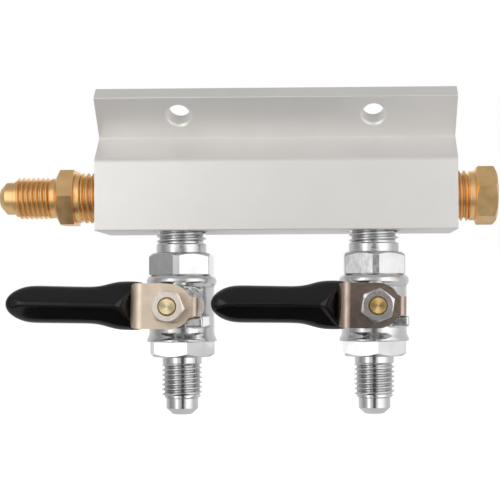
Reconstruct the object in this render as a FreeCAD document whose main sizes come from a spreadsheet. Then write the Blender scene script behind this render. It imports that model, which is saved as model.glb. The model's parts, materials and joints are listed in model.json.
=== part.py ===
"""Two-outlet gas manifold: an aluminium block with a leaning screw flange, a brass flare
inlet, a brass end plug, and two chrome-plated ball valves with built-in check valves.

All lengths are millimetres. X runs along the manifold from the inlet (-X) to the plug (+X),
-Y is the front with the levers, and +Z is up. The origin lies on the slanted mounting face,
midway between the two screw holes.
"""

import FreeCAD, Part
import Sketcher

import math
import os
import re

V = FreeCAD.Vector

# Driving sizes: name, value, what it is
SIZES = [
    ("block_length", 94.0, "length of the extruded block"),
    ("block_depth", 24.2, "front face to back face"),
    ("front_height", 18.3, "bottom to where the front face would meet the ledge"),
    ("lean", 41.0, "angle of the flange and the mounting face from upright, degrees"),
    ("groove_setback", 7.5, "front face to the line where the ledge meets the flange"),
    ("flange_length", 12.4, "groove line to the flange's front top edge"),
    ("flange_thickness", 4.6, "thickness of the screw flange"),
    ("corner_round", 2.5, "round between the front face and the ledge"),
    ("edge_break", 0.25, "small rounding of the other long edges"),
    ("port_spacing", 50.8, "centre distance of the two outlet ports"),
    ("port_setback", 8.3, "front face to the gallery and outlet axes"),
    ("gallery_height", 9.1, "bottom to the gallery axis"),
    ("gallery_bore", 8.0, "diameter of the gallery along the block"),
    ("port_depth", 8.0, "depth of each threaded port"),
    ("screw_spacing", 50.8, "centre distance of the screw holes"),
    ("screw_hole", 5.8, "diameter of the screw holes"),
    ("screw_chamfer", 0.55, "chamfer at the front of the screw holes"),
    ("screw_from_groove", 6.9, "groove line to the screw hole axes, along the flange"),
    ("pipe_major", 13.3, "crest diameter of the quarter-inch pipe threads"),
    ("pipe_pitch", 1.411, "pitch of the pipe threads, 18 to the inch"),
    ("pipe_thread_depth", 0.85, "radial depth of the pipe threads"),
    ("pipe_engagement", 5.6, "length of pipe thread inside the block"),
    ("port_clearance", 0.05, "radial room between a pipe thread's crest and its port"),
    ("flare_major", 10.9, "crest diameter of the 7/16-20 flare threads"),
    ("flare_pitch", 1.27, "pitch of the flare threads"),
    ("flare_thread_depth", 0.75, "radial depth of the flare threads"),
    ("flare_neck", 10.5, "diameter of the plain neck behind the flare threads"),
    ("nose_diameter", 8.5, "diameter of the flare nose"),
    ("nose_end", 4.9, "diameter of the flare cone's end face"),
    ("flare_cone", 1.5, "length of the 45 degree flare cone"),
    ("inlet_exposed", 4.6, "inlet pipe thread outside the block"),
    ("inlet_collar_length", 1.5, "plain collar of the inlet fitting"),
    ("inlet_collar", 12.9, "diameter of the inlet fitting's collar"),
    ("inlet_hex_length", 5.1, "length of the inlet hexagon"),
    ("inlet_flats", 14.29, "across flats of the inlet hexagon"),
    ("inlet_neck_length", 1.5, "plain neck of the inlet fitting"),
    ("inlet_thread_length", 9.3, "length of the inlet flare thread"),
    ("inlet_nose_length", 2.6, "length of the inlet's plain nose"),
    ("inlet_bore", 4.4, "bore of the inlet fitting"),
    ("plug_exposed", 3.4, "plug thread outside the block"),
    ("plug_collar_length", 1.4, "plain collar of the plug"),
    ("plug_collar", 13.0, "diameter of the plug's collar"),
    ("plug_hex_length", 5.8, "length of the plug's hexagon"),
    ("plug_flats", 13.7, "across flats of the plug's hexagon"),
    ("plug_turn", 17.0, "turn of the plug where it is tight, degrees"),
    ("plug_recess", 7.0, "diameter of the hollow in the plug's inner end"),
    ("plug_recess_depth", 7.5, "depth of the hollow in the plug's inner end"),
    ("valve_exposed", 3.2, "valve pipe thread outside the block"),
    ("valve_collar_length", 2.5, "plain collar under the valve's thread"),
    ("valve_collar", 13.3, "diameter of that collar"),
    ("valve_hex_length", 5.7, "length of the valve's upper hexagon"),
    ("valve_flats", 15.875, "across flats of the valve's two hexagons"),
    ("rib_length", 3.6, "height of the bulging rib under the hexagon"),
    ("rib_diameter", 18.5, "diameter of the two ribs"),
    ("rib_round", 1.75, "radius of the bulging rib's section"),
    ("barrel_length", 11.9, "height of the plain barrel between the ribs"),
    ("barrel_diameter", 17.2, "diameter of the barrel"),
    ("foot_flare", 1.5, "height over which the barrel widens to the lower rib"),
    ("foot_length", 0.6, "height of the lower rib's straight rim"),
    ("stem_drop", 19.6, "block underside to the stem axis and ball centre"),
    ("ball_diameter", 10.4, "diameter of the ball"),
    ("ball_bore", 5.0, "bore through the ball"),
    ("flow_bore", 5.5, "bore above the ball"),
    ("cavity_diameter", 11.6, "chamber around the ball"),
    ("seat_diameter", 9.2, "outer diameter of the ball seats"),
    ("seat_bore", 6.0, "inner diameter of the ball seats"),
    ("seat_length", 2.8, "length of a ball seat"),
    ("seat_offset", 3.4, "ball centre to a seat's near face"),
    ("ball_clearance", 0.08, "room between the ball and its seats"),
    ("spigot_diameter", 13.4, "threaded bore of the barrel for the outlet adapter"),
    ("spigot_clearance", 0.05, "radial room around the adapter's spigot"),
    ("spigot_offset", 3.3, "ball centre to the shoulder that the gasket seals on"),
    ("gasket_thickness", 0.5, "thickness of the body gasket"),
    ("neck_diameter", 10.0, "diameter of the stem neck"),
    ("neck_gap", 1.7, "room between the stem neck's face and the lever's hub"),
    ("neck_bore", 4.7, "bore of the stem neck"),
    ("collar_pocket", 6.6, "pocket for the stem's collar"),
    ("collar_pocket_reach", 7.1, "valve axis to the pocket's floor"),
    ("lug_gap", 2.3, "room between the stop lug's front and the lever's hub"),
    ("lug_inner", 3.4, "stem axis to the lug's inner face"),
    ("lug_outer", 7.9, "stem axis to the lug's outer face"),
    ("lug_width", 2.75, "width of the stop lug"),
    ("stop_gap", 0.25, "room between the tab or the heel and the stop beside it"),
    ("heel_inner", 2.9, "stem axis to the inner end of the heel behind the hub"),
    ("heel_outer", 4.0, "stem axis to the outer end of the heel behind the hub"),
    ("heel_width", 1.5, "width of the heel, and of the stop that it meets when open"),
    ("heel_room", 0.4, "room over the heel and over its stop"),
    ("stem_diameter", 4.6, "diameter of the stem in its neck"),
    ("stem_collar", 6.4, "diameter of the stem's inner collar"),
    ("stem_collar_length", 1.15, "length of that collar"),
    ("washer_thickness", 0.45, "thickness of the stem's thrust washer"),
    ("washer_bore", 4.8, "bore of the thrust washer"),
    ("tang_width", 1.8, "width of the stem's tang in the ball's slot"),
    ("tang_length", 4.0, "length of the tang along the slot"),
    ("tang_depth", 1.3, "depth of the slot in the ball"),
    ("tang_clearance", 0.1, "room around the tang in the slot"),
    ("ring_reach", 12.4, "valve axis to the stem's O-ring groove"),
    ("ring_section", 0.92, "section of the stem's O-ring"),
    ("groove_width", 1.3, "width of the O-ring groove"),
    ("groove_diameter", 2.7, "diameter of the O-ring groove's floor"),
    ("thread_diameter", 4.0, "diameter of the stem's threaded end"),
    ("thread_pitch", 0.7, "pitch of the stem's thread"),
    ("thread_depth", 0.35, "radial depth of the stem's thread"),
    ("flat_width", 3.0, "across the stem's two flats"),
    ("stem_proud", 0.5, "stem end beyond the nut"),
    ("lever_reach", 25.7, "valve axis to the back of the lever's hub"),
    ("lever_thickness", 1.6, "thickness of the lever's strip"),
    ("lever_width", 11.1, "width of the lever's hub"),
    ("lever_drop", 6.8, "set-back of the arm behind the hub"),
    ("lever_hub", 8.0, "stem axis to the fold"),
    ("lever_fold", 1.6, "length over which the fold slopes"),
    ("arm_width", 7.0, "width of the arm inside the grip"),
    ("arm_end", 35.0, "stem axis to the arm's end"),
    ("tab_reach", 6.9, "stem axis to the outer face of the stop tab"),
    ("tab_slant", 0.5, "outward lean of the tab"),
    ("tab_width", 4.6, "width of the tab"),
    ("arm_shoulder", 0.4, "end of the fold to where the arm narrows"),
    ("tab_drop", 6.2, "length of the tab behind the hub"),
    ("lever_clearance", 0.05, "room around the stem's flats in the lever"),
    ("nut_flats", 7.5, "across flats of the lever nut"),
    ("nut_height", 3.2, "height of the lever nut"),
    ("grip_tip", 40.3, "stem axis to the grip's tip"),
    ("grip_mouth", 6.9, "stem axis to the grip's cheeks"),
    ("grip_hollow", 10.0, "stem axis to the floor of the grip's mouth"),
    ("grip_wide", 12.2, "width of the grip at its shoulders"),
    ("grip_narrow", 9.15, "width of the grip's straight part"),
    ("shoulder_end", 14.4, "stem axis to where the shoulders begin to taper"),
    ("taper_end", 18.8, "stem axis to where the straight part begins"),
    ("tip_start", 34.2, "stem axis to where the tip begins"),
    ("ridge_reach", 25.9, "valve axis to the grip's ridge"),
    ("grip_edge", 22.6, "valve axis to the grip's side edges"),
    ("grip_back", 17.6, "valve axis to the grip's back"),
    ("chevron_start", 13.4, "stem axis to the ridge's end at the chevron"),
    ("chevron_fall", 5.6, "fall of the chevron's slope to the mouth"),
    ("grip_clearance", 0.05, "room around the arm in the grip"),
    ("cheek_clearance", 0.1, "room between the lever's fold and the grip's cheeks"),
    ("left_lever_lift", 1.2, "free play of the left lever at its closed stop, degrees"),
    ("right_lever_lift", 0.9, "free play of the right lever at its closed stop, degrees"),
    ("left_nut_turn", -22.0, "turn of the left lever nut, degrees"),
    ("right_nut_turn", 8.5, "turn of the right lever nut, degrees"),
    ("adapter_hex_length", 4.0, "length of the outlet adapter's hexagon"),
    ("adapter_neck_length", 1.85, "plain neck under the adapter's hexagon"),
    ("adapter_thread_length", 8.8, "length of the outlet flare thread"),
    ("adapter_nose_length", 3.0, "length of the outlet's plain nose"),
    ("adapter_bore", 4.0, "bore of the outlet's nose"),
    ("left_adapter_turn", 14.7, "turn of the left outlet adapter, degrees"),
    ("right_adapter_turn", 4.6, "turn of the right outlet adapter, degrees"),
    ("check_bore", 6.4, "chamber of the check valve"),
    ("check_seat_length", 2.0, "length of the pressed-in check seat"),
    ("check_seat_bore", 3.6, "bore of the check seat"),
    ("check_length", 10.2, "check seat's face to the floor of its chamber"),
    ("check_gap", 0.09, "room between the check O-ring and its seat"),
    ("check_ring_section", 0.9, "section of the check valve's O-ring"),
    ("poppet_nose", 2.8, "diameter of the poppet's nose"),
    ("poppet_head", 5.4, "diameter of the poppet's head"),
    ("poppet_head_length", 1.0, "thickness of the poppet's head"),
    ("poppet_tail", 2.4, "diameter of the poppet's spring guide"),
    ("poppet_tail_length", 3.2, "length of the spring guide"),
    ("spring_diameter", 3.8, "mean diameter of the check spring"),
    ("spring_wire", 0.5, "wire of the check spring"),
    ("spring_pitch", 1.45, "pitch of the check spring"),
    ("rest_gap", 0.03, "room at loosely seated faces"),
]

# Lengths that follow from the driving sizes
DERIVED = {
    "groove_height": "front_height + groove_setback * tan(lean)",
    "flange_front_y": "groove_setback - flange_length * sin(lean)",
    "flange_front_z": "groove_height + flange_length * cos(lean)",
    "flange_back_y": "flange_front_y + flange_thickness * cos(lean)",
    "flange_back_z": "flange_front_z + flange_thickness * sin(lean)",
    "back_height": "flange_back_z - (block_depth - flange_back_y) / tan(lean)",
    "screw_front_y": "groove_setback - screw_from_groove * sin(lean)",
    "screw_front_z": "groove_height + screw_from_groove * cos(lean)",
    "mount_y": "screw_front_y + flange_thickness * cos(lean)",
    "mount_z": "screw_front_z + flange_thickness * sin(lean)",
    "valve_hex_top": "valve_exposed + valve_collar_length",
    "rib_top": "valve_hex_top + valve_hex_length",
    "rib_bottom": "rib_top + rib_length",
    "barrel_bottom": "rib_bottom + barrel_length",
    "foot_bottom": "barrel_bottom + foot_flare + foot_length",
    "seat_near": "stem_drop - seat_offset",
    "shoulder_drop": "stem_drop + spigot_offset",
    "spigot_top": "shoulder_drop + gasket_thickness",
    "lower_seat_end": "stem_drop + seat_offset - spigot_clearance + seat_length",
    "check_face": "stem_drop + seat_offset + seat_length + check_seat_length",
    "check_floor": "check_face + check_length",
    "adapter_hex_bottom": "foot_bottom + adapter_hex_length",
    "adapter_thread_top": "adapter_hex_bottom + adapter_neck_length",
    "adapter_thread_bottom": "adapter_thread_top + adapter_thread_length",
    "adapter_nose_bottom": "adapter_thread_bottom + adapter_nose_length",
    "outlet_end": "adapter_nose_bottom + flare_cone",
    "neck_reach": "lever_reach - neck_gap",
    "lug_reach": "lever_reach - lug_gap",
    "nut_base": "lever_reach + lever_thickness",
    "stem_end": "nut_base + nut_height + stem_proud",
    "tang_start": "ball_diameter / 2 - tang_depth",
    "stem_collar_end": "collar_pocket_reach - washer_thickness - rest_gap * 2",
    "arm_back": "lever_reach - lever_drop",
    "inlet_collar_end": "inlet_exposed + inlet_collar_length",
    "inlet_hex_end": "inlet_collar_end + inlet_hex_length",
    "inlet_thread_start": "inlet_hex_end + inlet_neck_length",
    "inlet_thread_end": "inlet_thread_start + inlet_thread_length",
    "inlet_nose_end": "inlet_thread_end + inlet_nose_length",
    "plug_collar_end": "plug_exposed + plug_collar_length",
    "plug_end": "plug_collar_end + plug_hex_length",
    "head_top": "check_face + check_gap + check_ring_section + rest_gap",
    "spring_top": "head_top + poppet_head_length + rest_gap + spring_wire / 2",
    "spring_bottom": "check_floor - rest_gap - spring_wire / 2",
}

doc = FreeCAD.newDocument("gas_manifold")
sheet = doc.addObject("Spreadsheet::Sheet", "Sizes")
for row, (alias, value, note) in enumerate(SIZES, start=1):
    sheet.set("A%d" % row, alias)
    sheet.set("B%d" % row, str(value))
    sheet.set("C%d" % row, note)
    sheet.setAlias("B%d" % row, alias)
doc.recompute()

ALIASES = [alias for alias, value, note in SIZES]
WORD = re.compile(r"[a-z][a-z_]*")


def bound(formula):
    """The formula with every derived length spelled out in cells of the sheet."""

    def spell(match):
        word = match.group(0)
        if word in DERIVED:
            return "(" + bound(DERIVED[word]) + ")"
        return "Sizes." + word if word in ALIASES else word

    return WORD.sub(spell, str(formula))


def size(alias):
    """The number that a cell of the sheet holds."""
    return float(sheet.get(alias))


def bind(item, prop, formula):
    item.setExpression(prop, bound(formula))


def origin_plane(body, role):
    return next(feature for feature in body.Origin.OriginFeatures if feature.Role == role)


def new_sketch(body, name, plane, offset=None):
    """A sketch on one of the body's own origin planes, moved along its normal by offset."""
    sketch = body.newObject("Sketcher::SketchObject", name)
    sketch.AttachmentSupport = [(origin_plane(body, plane), "")]
    sketch.MapMode = "FlatFace"
    if offset is not None:
        bind(sketch, "AttachmentOffset.Base.z", offset)
    return sketch


def add_outline(sketch, points):
    """A closed outline of straight edges, each corner held by a pair of formulas."""
    first = sketch.GeometryCount
    count = len(points)
    corners = [
        V(10 * math.cos(2 * math.pi * i / count), 10 * math.sin(2 * math.pi * i / count), 0)
        for i in range(count)
    ]
    for i in range(count):
        sketch.addGeometry(Part.LineSegment(corners[i], corners[(i + 1) % count]), False)
    for i in range(count):
        following = first + (i + 1) % count
        sketch.addConstraint(Sketcher.Constraint("Coincident", first + i, 2, following, 1))
    for i, point in enumerate(points):
        for kind, letter, formula in zip(("DistanceX", "DistanceY"), "xy", point):
            start = corners[i].x if letter == "x" else corners[i].y
            index = sketch.addConstraint(Sketcher.Constraint(kind, -1, 1, first + i, 1, start))
            name = "%s%d" % (letter, first + i)
            sketch.renameConstraint(index, name)
            bind(sketch, "Constraints." + name, formula)


def add_circle(sketch, diameter, centre_x="0", centre_y="0"):
    first = sketch.GeometryCount
    sketch.addGeometry(Part.Circle(V(0, 0, 0), V(0, 0, 1), 1.0), False)
    held = (
        ("Diameter", "d", diameter),
        ("DistanceX", "x", centre_x),
        ("DistanceY", "y", centre_y),
    )
    for kind, letter, formula in held:
        if kind == "Diameter":
            constraint = Sketcher.Constraint(kind, first, 2.0)
        else:
            constraint = Sketcher.Constraint(kind, -1, 1, first, 3, 0.0)
        name = "%s%d" % (letter, first)
        sketch.renameConstraint(sketch.addConstraint(constraint), name)
        bind(sketch, "Constraints." + name, formula)


def hexagon(flats, point_along):
    """Corners of a hexagon, with two of them on the sketch's x or y axis."""
    half = "(%s) / 2" % flats
    corner = "(%s) / sqrt(3)" % flats
    points = [
        ("0", corner),
        ("-" + half, corner + " / 2"),
        ("-" + half, "-" + corner + " / 2"),
        ("0", "-" + corner),
        (half, "-" + corner + " / 2"),
        (half, corner + " / 2"),
    ]
    return [(y, x) for x, y in points] if point_along == "x" else points


def revolve(body, name, plane, axis, points, cut=False):
    """A turned shape, or a turned cut, from a half section on the plane."""
    sketch = new_sketch(body, name + "_section", plane)
    add_outline(sketch, points)
    kind = "PartDesign::Groove" if cut else "PartDesign::Revolution"
    feature = body.newObject(kind, name)
    feature.Profile = sketch
    feature.ReferenceAxis = (sketch, [axis])
    feature.Angle = 360
    return feature


def pad(body, name, sketch, length, both_ways=False, backwards=False):
    feature = body.newObject("PartDesign::Pad", name)
    feature.Profile = sketch
    bind(feature, "Length", length)
    feature.SideType = "Symmetric" if both_ways else "One side"
    feature.Reversed = backwards
    return feature


def pocket(body, name, sketch, length=None, backwards=False, both_ways=False):
    """A cut as deep as length, or right through when no length is given."""
    feature = body.newObject("PartDesign::Pocket", name)
    feature.Profile = sketch
    feature.SideType = "Symmetric" if both_ways else "One side"
    if length is None:
        feature.Type = "ThroughAll"
    else:
        bind(feature, "Length", length)
    feature.Reversed = backwards
    return feature


def thread_section(start, direction, length_alias, pitch_alias, crest, depth):
    """Ridges of a thread as (radius, place) pairs, counted off the thread's length."""
    turns = int(size(length_alias) / size(pitch_alias) + 0.01)
    root = "%s / 2 - %s" % (crest, depth)
    points = []
    for turn in range(turns):
        for share, radius in ((0.1, root), (0.44, crest + " / 2"), (0.56, crest + " / 2"), (0.9, root)):
            place = "%s %s (%d + %s) * %s" % (start, direction, turn, share, pitch_alias)
            points.append((radius, place))
    return points


def place(item, x, y, z, axis=None, angle=None):
    """Puts an item in the manifold's frame, with an optional turn about one axis."""
    if axis is not None:
        item.Placement = FreeCAD.Placement(V(0, 0, 0), FreeCAD.Rotation(axis, 1))
        bind(item, "Placement.Rotation.Angle", angle)
    for letter, formula in zip("xyz", (x, y, z)):
        bind(item, "Placement.Base." + letter, formula)


def edges_near(shape, test):
    """Names of the shape's edges whose middle point passes the test."""
    names = []
    for number, edge in enumerate(shape.Edges, start=1):
        middle = edge.valueAt((edge.FirstParameter + edge.LastParameter) / 2)
        if test(edge, middle):
            names.append("Edge%d" % number)
    return names


def round_edges(body, name, base, radius, test):
    doc.recompute()
    feature = body.newObject("PartDesign::Fillet", name)
    feature.Base = (base, edges_near(base.Shape, test))
    bind(feature, "Radius", radius)
    return feature


nodes = {}


def add_node(label, item):
    item.Label = label
    nodes[label] = item
    return item


def new_body(label):
    return add_node(label, doc.addObject("PartDesign::Body", label))


def cylinder(name, diameter, length):
    item = doc.addObject("Part::Cylinder", name)
    bind(item, "Radius", "(%s) / 2" % diameter)
    bind(item, "Height", length)
    return item


def subtract(name, base, tool):
    item = doc.addObject("Part::Cut", name)
    item.Base = base
    item.Tool = tool
    return item


# The block: one extrusion, bored and drilled

UP_X = V(1, 0, 0)
UP_Y = V(0, 1, 0)
UP_Z = V(0, 0, 1)
SIDES = (("left", "-"), ("right", ""))
OVERRUN = "2"


def manifold_body():
    profile = doc.addObject("PartDesign::Body", "block_extrusion")
    sketch = new_sketch(profile, "block_section", "YZ_Plane")
    add_outline(sketch, [
        ("0", "0"),
        ("block_depth", "0"),
        ("block_depth", "back_height"),
        ("flange_back_y", "flange_back_z"),
        ("flange_front_y", "flange_front_z"),
        ("groove_setback", "groove_height"),
        ("0", "front_height"),
    ])
    bar = pad(profile, "block_bar", sketch, "block_length", both_ways=True)
    doc.recompute()
    ledge_z = size("front_height")
    tolerance = 0.01

    def along(edge):
        return abs(edge.tangentAt(edge.FirstParameter).x) > 0.99

    def is_corner(edge, middle):
        return along(edge) and abs(middle.y) < tolerance and abs(middle.z - ledge_z) < tolerance

    rounded = round_edges(profile, "ledge_corner", bar, "corner_round", is_corner)
    doc.recompute()
    groove_y = size("groove_setback")

    def is_sharp(edge, middle):
        in_groove = abs(middle.y - groove_y) < tolerance and middle.z > ledge_z
        beside_round = middle.y < size("corner_round") and abs(middle.z - ledge_z) < size("corner_round")
        return along(edge) and not in_groove and not beside_round

    round_edges(profile, "long_edges", rounded, "edge_break", is_sharp)

    cuts = []
    gallery = cylinder("gallery", "gallery_bore", "block_length")
    place(gallery, "-block_length / 2", "port_setback", "gallery_height", UP_Y, "90")
    cuts.append(gallery)
    for side, sign in SIDES:
        port = "pipe_major + 2 * port_clearance"
        end_port = cylinder(side + "_end_port", port, "port_depth + " + OVERRUN)
        start = "block_length / 2 - port_depth" if side == "right" else "-block_length / 2 - " + OVERRUN
        place(end_port, start, "port_setback", "gallery_height", UP_Y, "90")
        cuts.append(end_port)
        outlet = cylinder(side + "_outlet_port", port, "port_depth + " + OVERRUN)
        place(outlet, sign + "port_spacing / 2", "port_setback", "-" + OVERRUN)
        cuts.append(outlet)
        for name, shape in screw_hole(side):
            place(
                shape,
                sign + "screw_spacing / 2",
                "screw_front_y - %s * cos(lean)" % OVERRUN,
                "screw_front_z - %s * sin(lean)" % OVERRUN,
                V(-1, 0, 0),
                "90 - lean",
            )
            cuts.append(shape)
    drilled = doc.addObject("Part::MultiFuse", "block_cuts")
    drilled.Shapes = cuts
    node = add_node("manifold_body", subtract("manifold_body", profile, drilled))
    place(node, "0", "-mount_y", "-mount_z")


def screw_hole(side):
    """A plain hole and the chamfer at its front, both starting in front of the flange."""
    hole = cylinder(side + "_screw_hole", "screw_hole", "flange_thickness + 2 * " + OVERRUN)
    chamfer = doc.addObject("Part::Cone", side + "_screw_chamfer")
    bind(chamfer, "Radius1", "screw_hole / 2 + screw_chamfer + " + OVERRUN)
    bind(chamfer, "Radius2", "screw_hole / 2")
    bind(chamfer, "Height", "screw_chamfer + " + OVERRUN)
    return (("hole", hole), ("chamfer", chamfer))


# The brass fittings at the block's ends, modelled along X from the block's end face


def turned(points, sign):
    """(radius, distance outward) pairs as sketch corners along X."""
    return [("%s(%s)" % (sign, reach), radius) for radius, reach in points]


def inlet_fitting():
    body = new_body("inlet_fitting")
    pipe_root = "pipe_major / 2 - pipe_thread_depth"
    flare_root = "flare_major / 2 - flare_thread_depth"
    outside = [("0", "-pipe_engagement"), (pipe_root, "-pipe_engagement")]
    outside += pipe_ridges("pipe_engagement", "inlet_exposed")
    outside += [
        (pipe_root, "inlet_exposed"),
        ("inlet_collar / 2", "inlet_exposed"),
        ("inlet_collar / 2", "inlet_collar_end"),
        ("inlet_collar / 2", "inlet_hex_end"),
        ("flare_neck / 2", "inlet_hex_end"),
        ("flare_neck / 2", "inlet_thread_start"),
        (flare_root, "inlet_thread_start"),
    ]
    outside += thread_section(
        "inlet_thread_start", "+", "inlet_thread_length", "flare_pitch", "flare_major", "flare_thread_depth"
    )
    outside += [
        (flare_root, "inlet_thread_end"),
        ("nose_diameter / 2", "inlet_thread_end"),
        ("nose_diameter / 2", "inlet_nose_end"),
        ("nose_end / 2", "inlet_nose_end + flare_cone"),
        ("0", "inlet_nose_end + flare_cone"),
    ]
    revolve(body, "turning", "XY_Plane", "H_Axis", turned(outside, "-"))
    sketch = new_sketch(body, "hexagon", "YZ_Plane", "-(inlet_hex_end)")
    add_outline(sketch, hexagon("inlet_flats", "x"))
    pad(body, "wrench_hexagon", sketch, "inlet_hex_length")
    chamfer = chamfer_section("flare_neck / 2", "inlet_flats", "inlet_hex_end", "-")
    revolve(body, "hexagon_chamfer", "XY_Plane", "H_Axis", turned(chamfer, "-"), cut=True)
    bore = bore_section("inlet_bore", "-pipe_engagement", "inlet_nose_end + flare_cone")
    revolve(body, "bore", "XY_Plane", "H_Axis", turned(bore, "-"), cut=True)
    place(body, "-block_length / 2", "port_setback - mount_y", "gallery_height - mount_z")


def pipe_ridges(inside, exposed):
    """Ridges of a pipe thread from its inner end to its collar."""
    turns = int((size(inside) + size(exposed)) / size("pipe_pitch"))
    root = "pipe_major / 2 - pipe_thread_depth"
    points = []
    for turn in range(turns):
        for share, radius in ((0.1, root), (0.44, "pipe_major / 2"), (0.56, "pipe_major / 2"), (0.9, root)):
            points.append((radius, "-%s + (%d + %s) * pipe_pitch" % (inside, turn, share)))
    return points


def chamfer_section(face_radius, flats, end, inward):
    """The ring that a 30 degree chamfer takes off a hexagon's corners at one end."""
    corner = "(%s) / sqrt(3) + 1" % flats
    slope = "((%s) - (%s)) * tan(30)" % (corner, face_radius)
    outward = "+" if inward == "-" else "-"
    return [
        (face_radius, end),
        (corner, "%s %s %s" % (end, inward, slope)),
        (corner, "%s %s 1" % (end, outward)),
        (face_radius, "%s %s 1" % (end, outward)),
    ]


def bore_section(diameter, start, end):
    return [
        ("0", "%s - %s" % (start, OVERRUN)),
        (diameter + " / 2", "%s - %s" % (start, OVERRUN)),
        (diameter + " / 2", "%s + %s" % (end, OVERRUN)),
        ("0", "%s + %s" % (end, OVERRUN)),
    ]


def end_plug():
    body = new_body("end_plug")
    pipe_root = "pipe_major / 2 - pipe_thread_depth"
    outside = [("0", "-pipe_engagement"), (pipe_root, "-pipe_engagement")]
    outside += pipe_ridges("pipe_engagement", "plug_exposed")
    outside += [
        (pipe_root, "plug_exposed"),
        ("plug_collar / 2", "plug_exposed"),
        ("plug_collar / 2", "plug_end"),
        ("0", "plug_end"),
    ]
    revolve(body, "turning", "XY_Plane", "H_Axis", turned(outside, ""))
    sketch = new_sketch(body, "hexagon", "YZ_Plane", "plug_collar_end")
    add_outline(sketch, hexagon("plug_flats", "y"))
    pad(body, "wrench_hexagon", sketch, "plug_hex_length")
    inner = chamfer_section("plug_collar / 2", "plug_flats", "plug_collar_end", "+")
    revolve(body, "inner_chamfer", "XY_Plane", "H_Axis", turned(inner, ""), cut=True)
    outer = chamfer_section("plug_flats / 2 - 0.2", "plug_flats", "plug_end", "-")
    revolve(body, "outer_chamfer", "XY_Plane", "H_Axis", turned(outer, ""), cut=True)
    hollow = [
        ("0", "-pipe_engagement - " + OVERRUN),
        ("plug_recess / 2", "-pipe_engagement - " + OVERRUN),
        ("plug_recess / 2", "plug_recess_depth - pipe_engagement"),
        ("0", "plug_recess_depth - pipe_engagement"),
    ]
    revolve(body, "hollow", "XY_Plane", "H_Axis", turned(hollow, ""), cut=True)
    middle = ("block_length / 2", "port_setback - mount_y", "gallery_height - mount_z")
    place(body, *middle, UP_X, "plug_turn")


# The valves, modelled from the block's underside at the port's axis, with Z up


def hanging(points):
    """(radius, distance below the block) pairs as sketch corners along Z."""
    return [(radius, "-(%s)" % drop) for radius, drop in points]


def place_valve_part(item, sign, drop="0", axis=None, angle=None):
    place(item, sign + "port_spacing / 2", "port_setback - mount_y", "-mount_z - (%s)" % drop, axis, angle)


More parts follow.
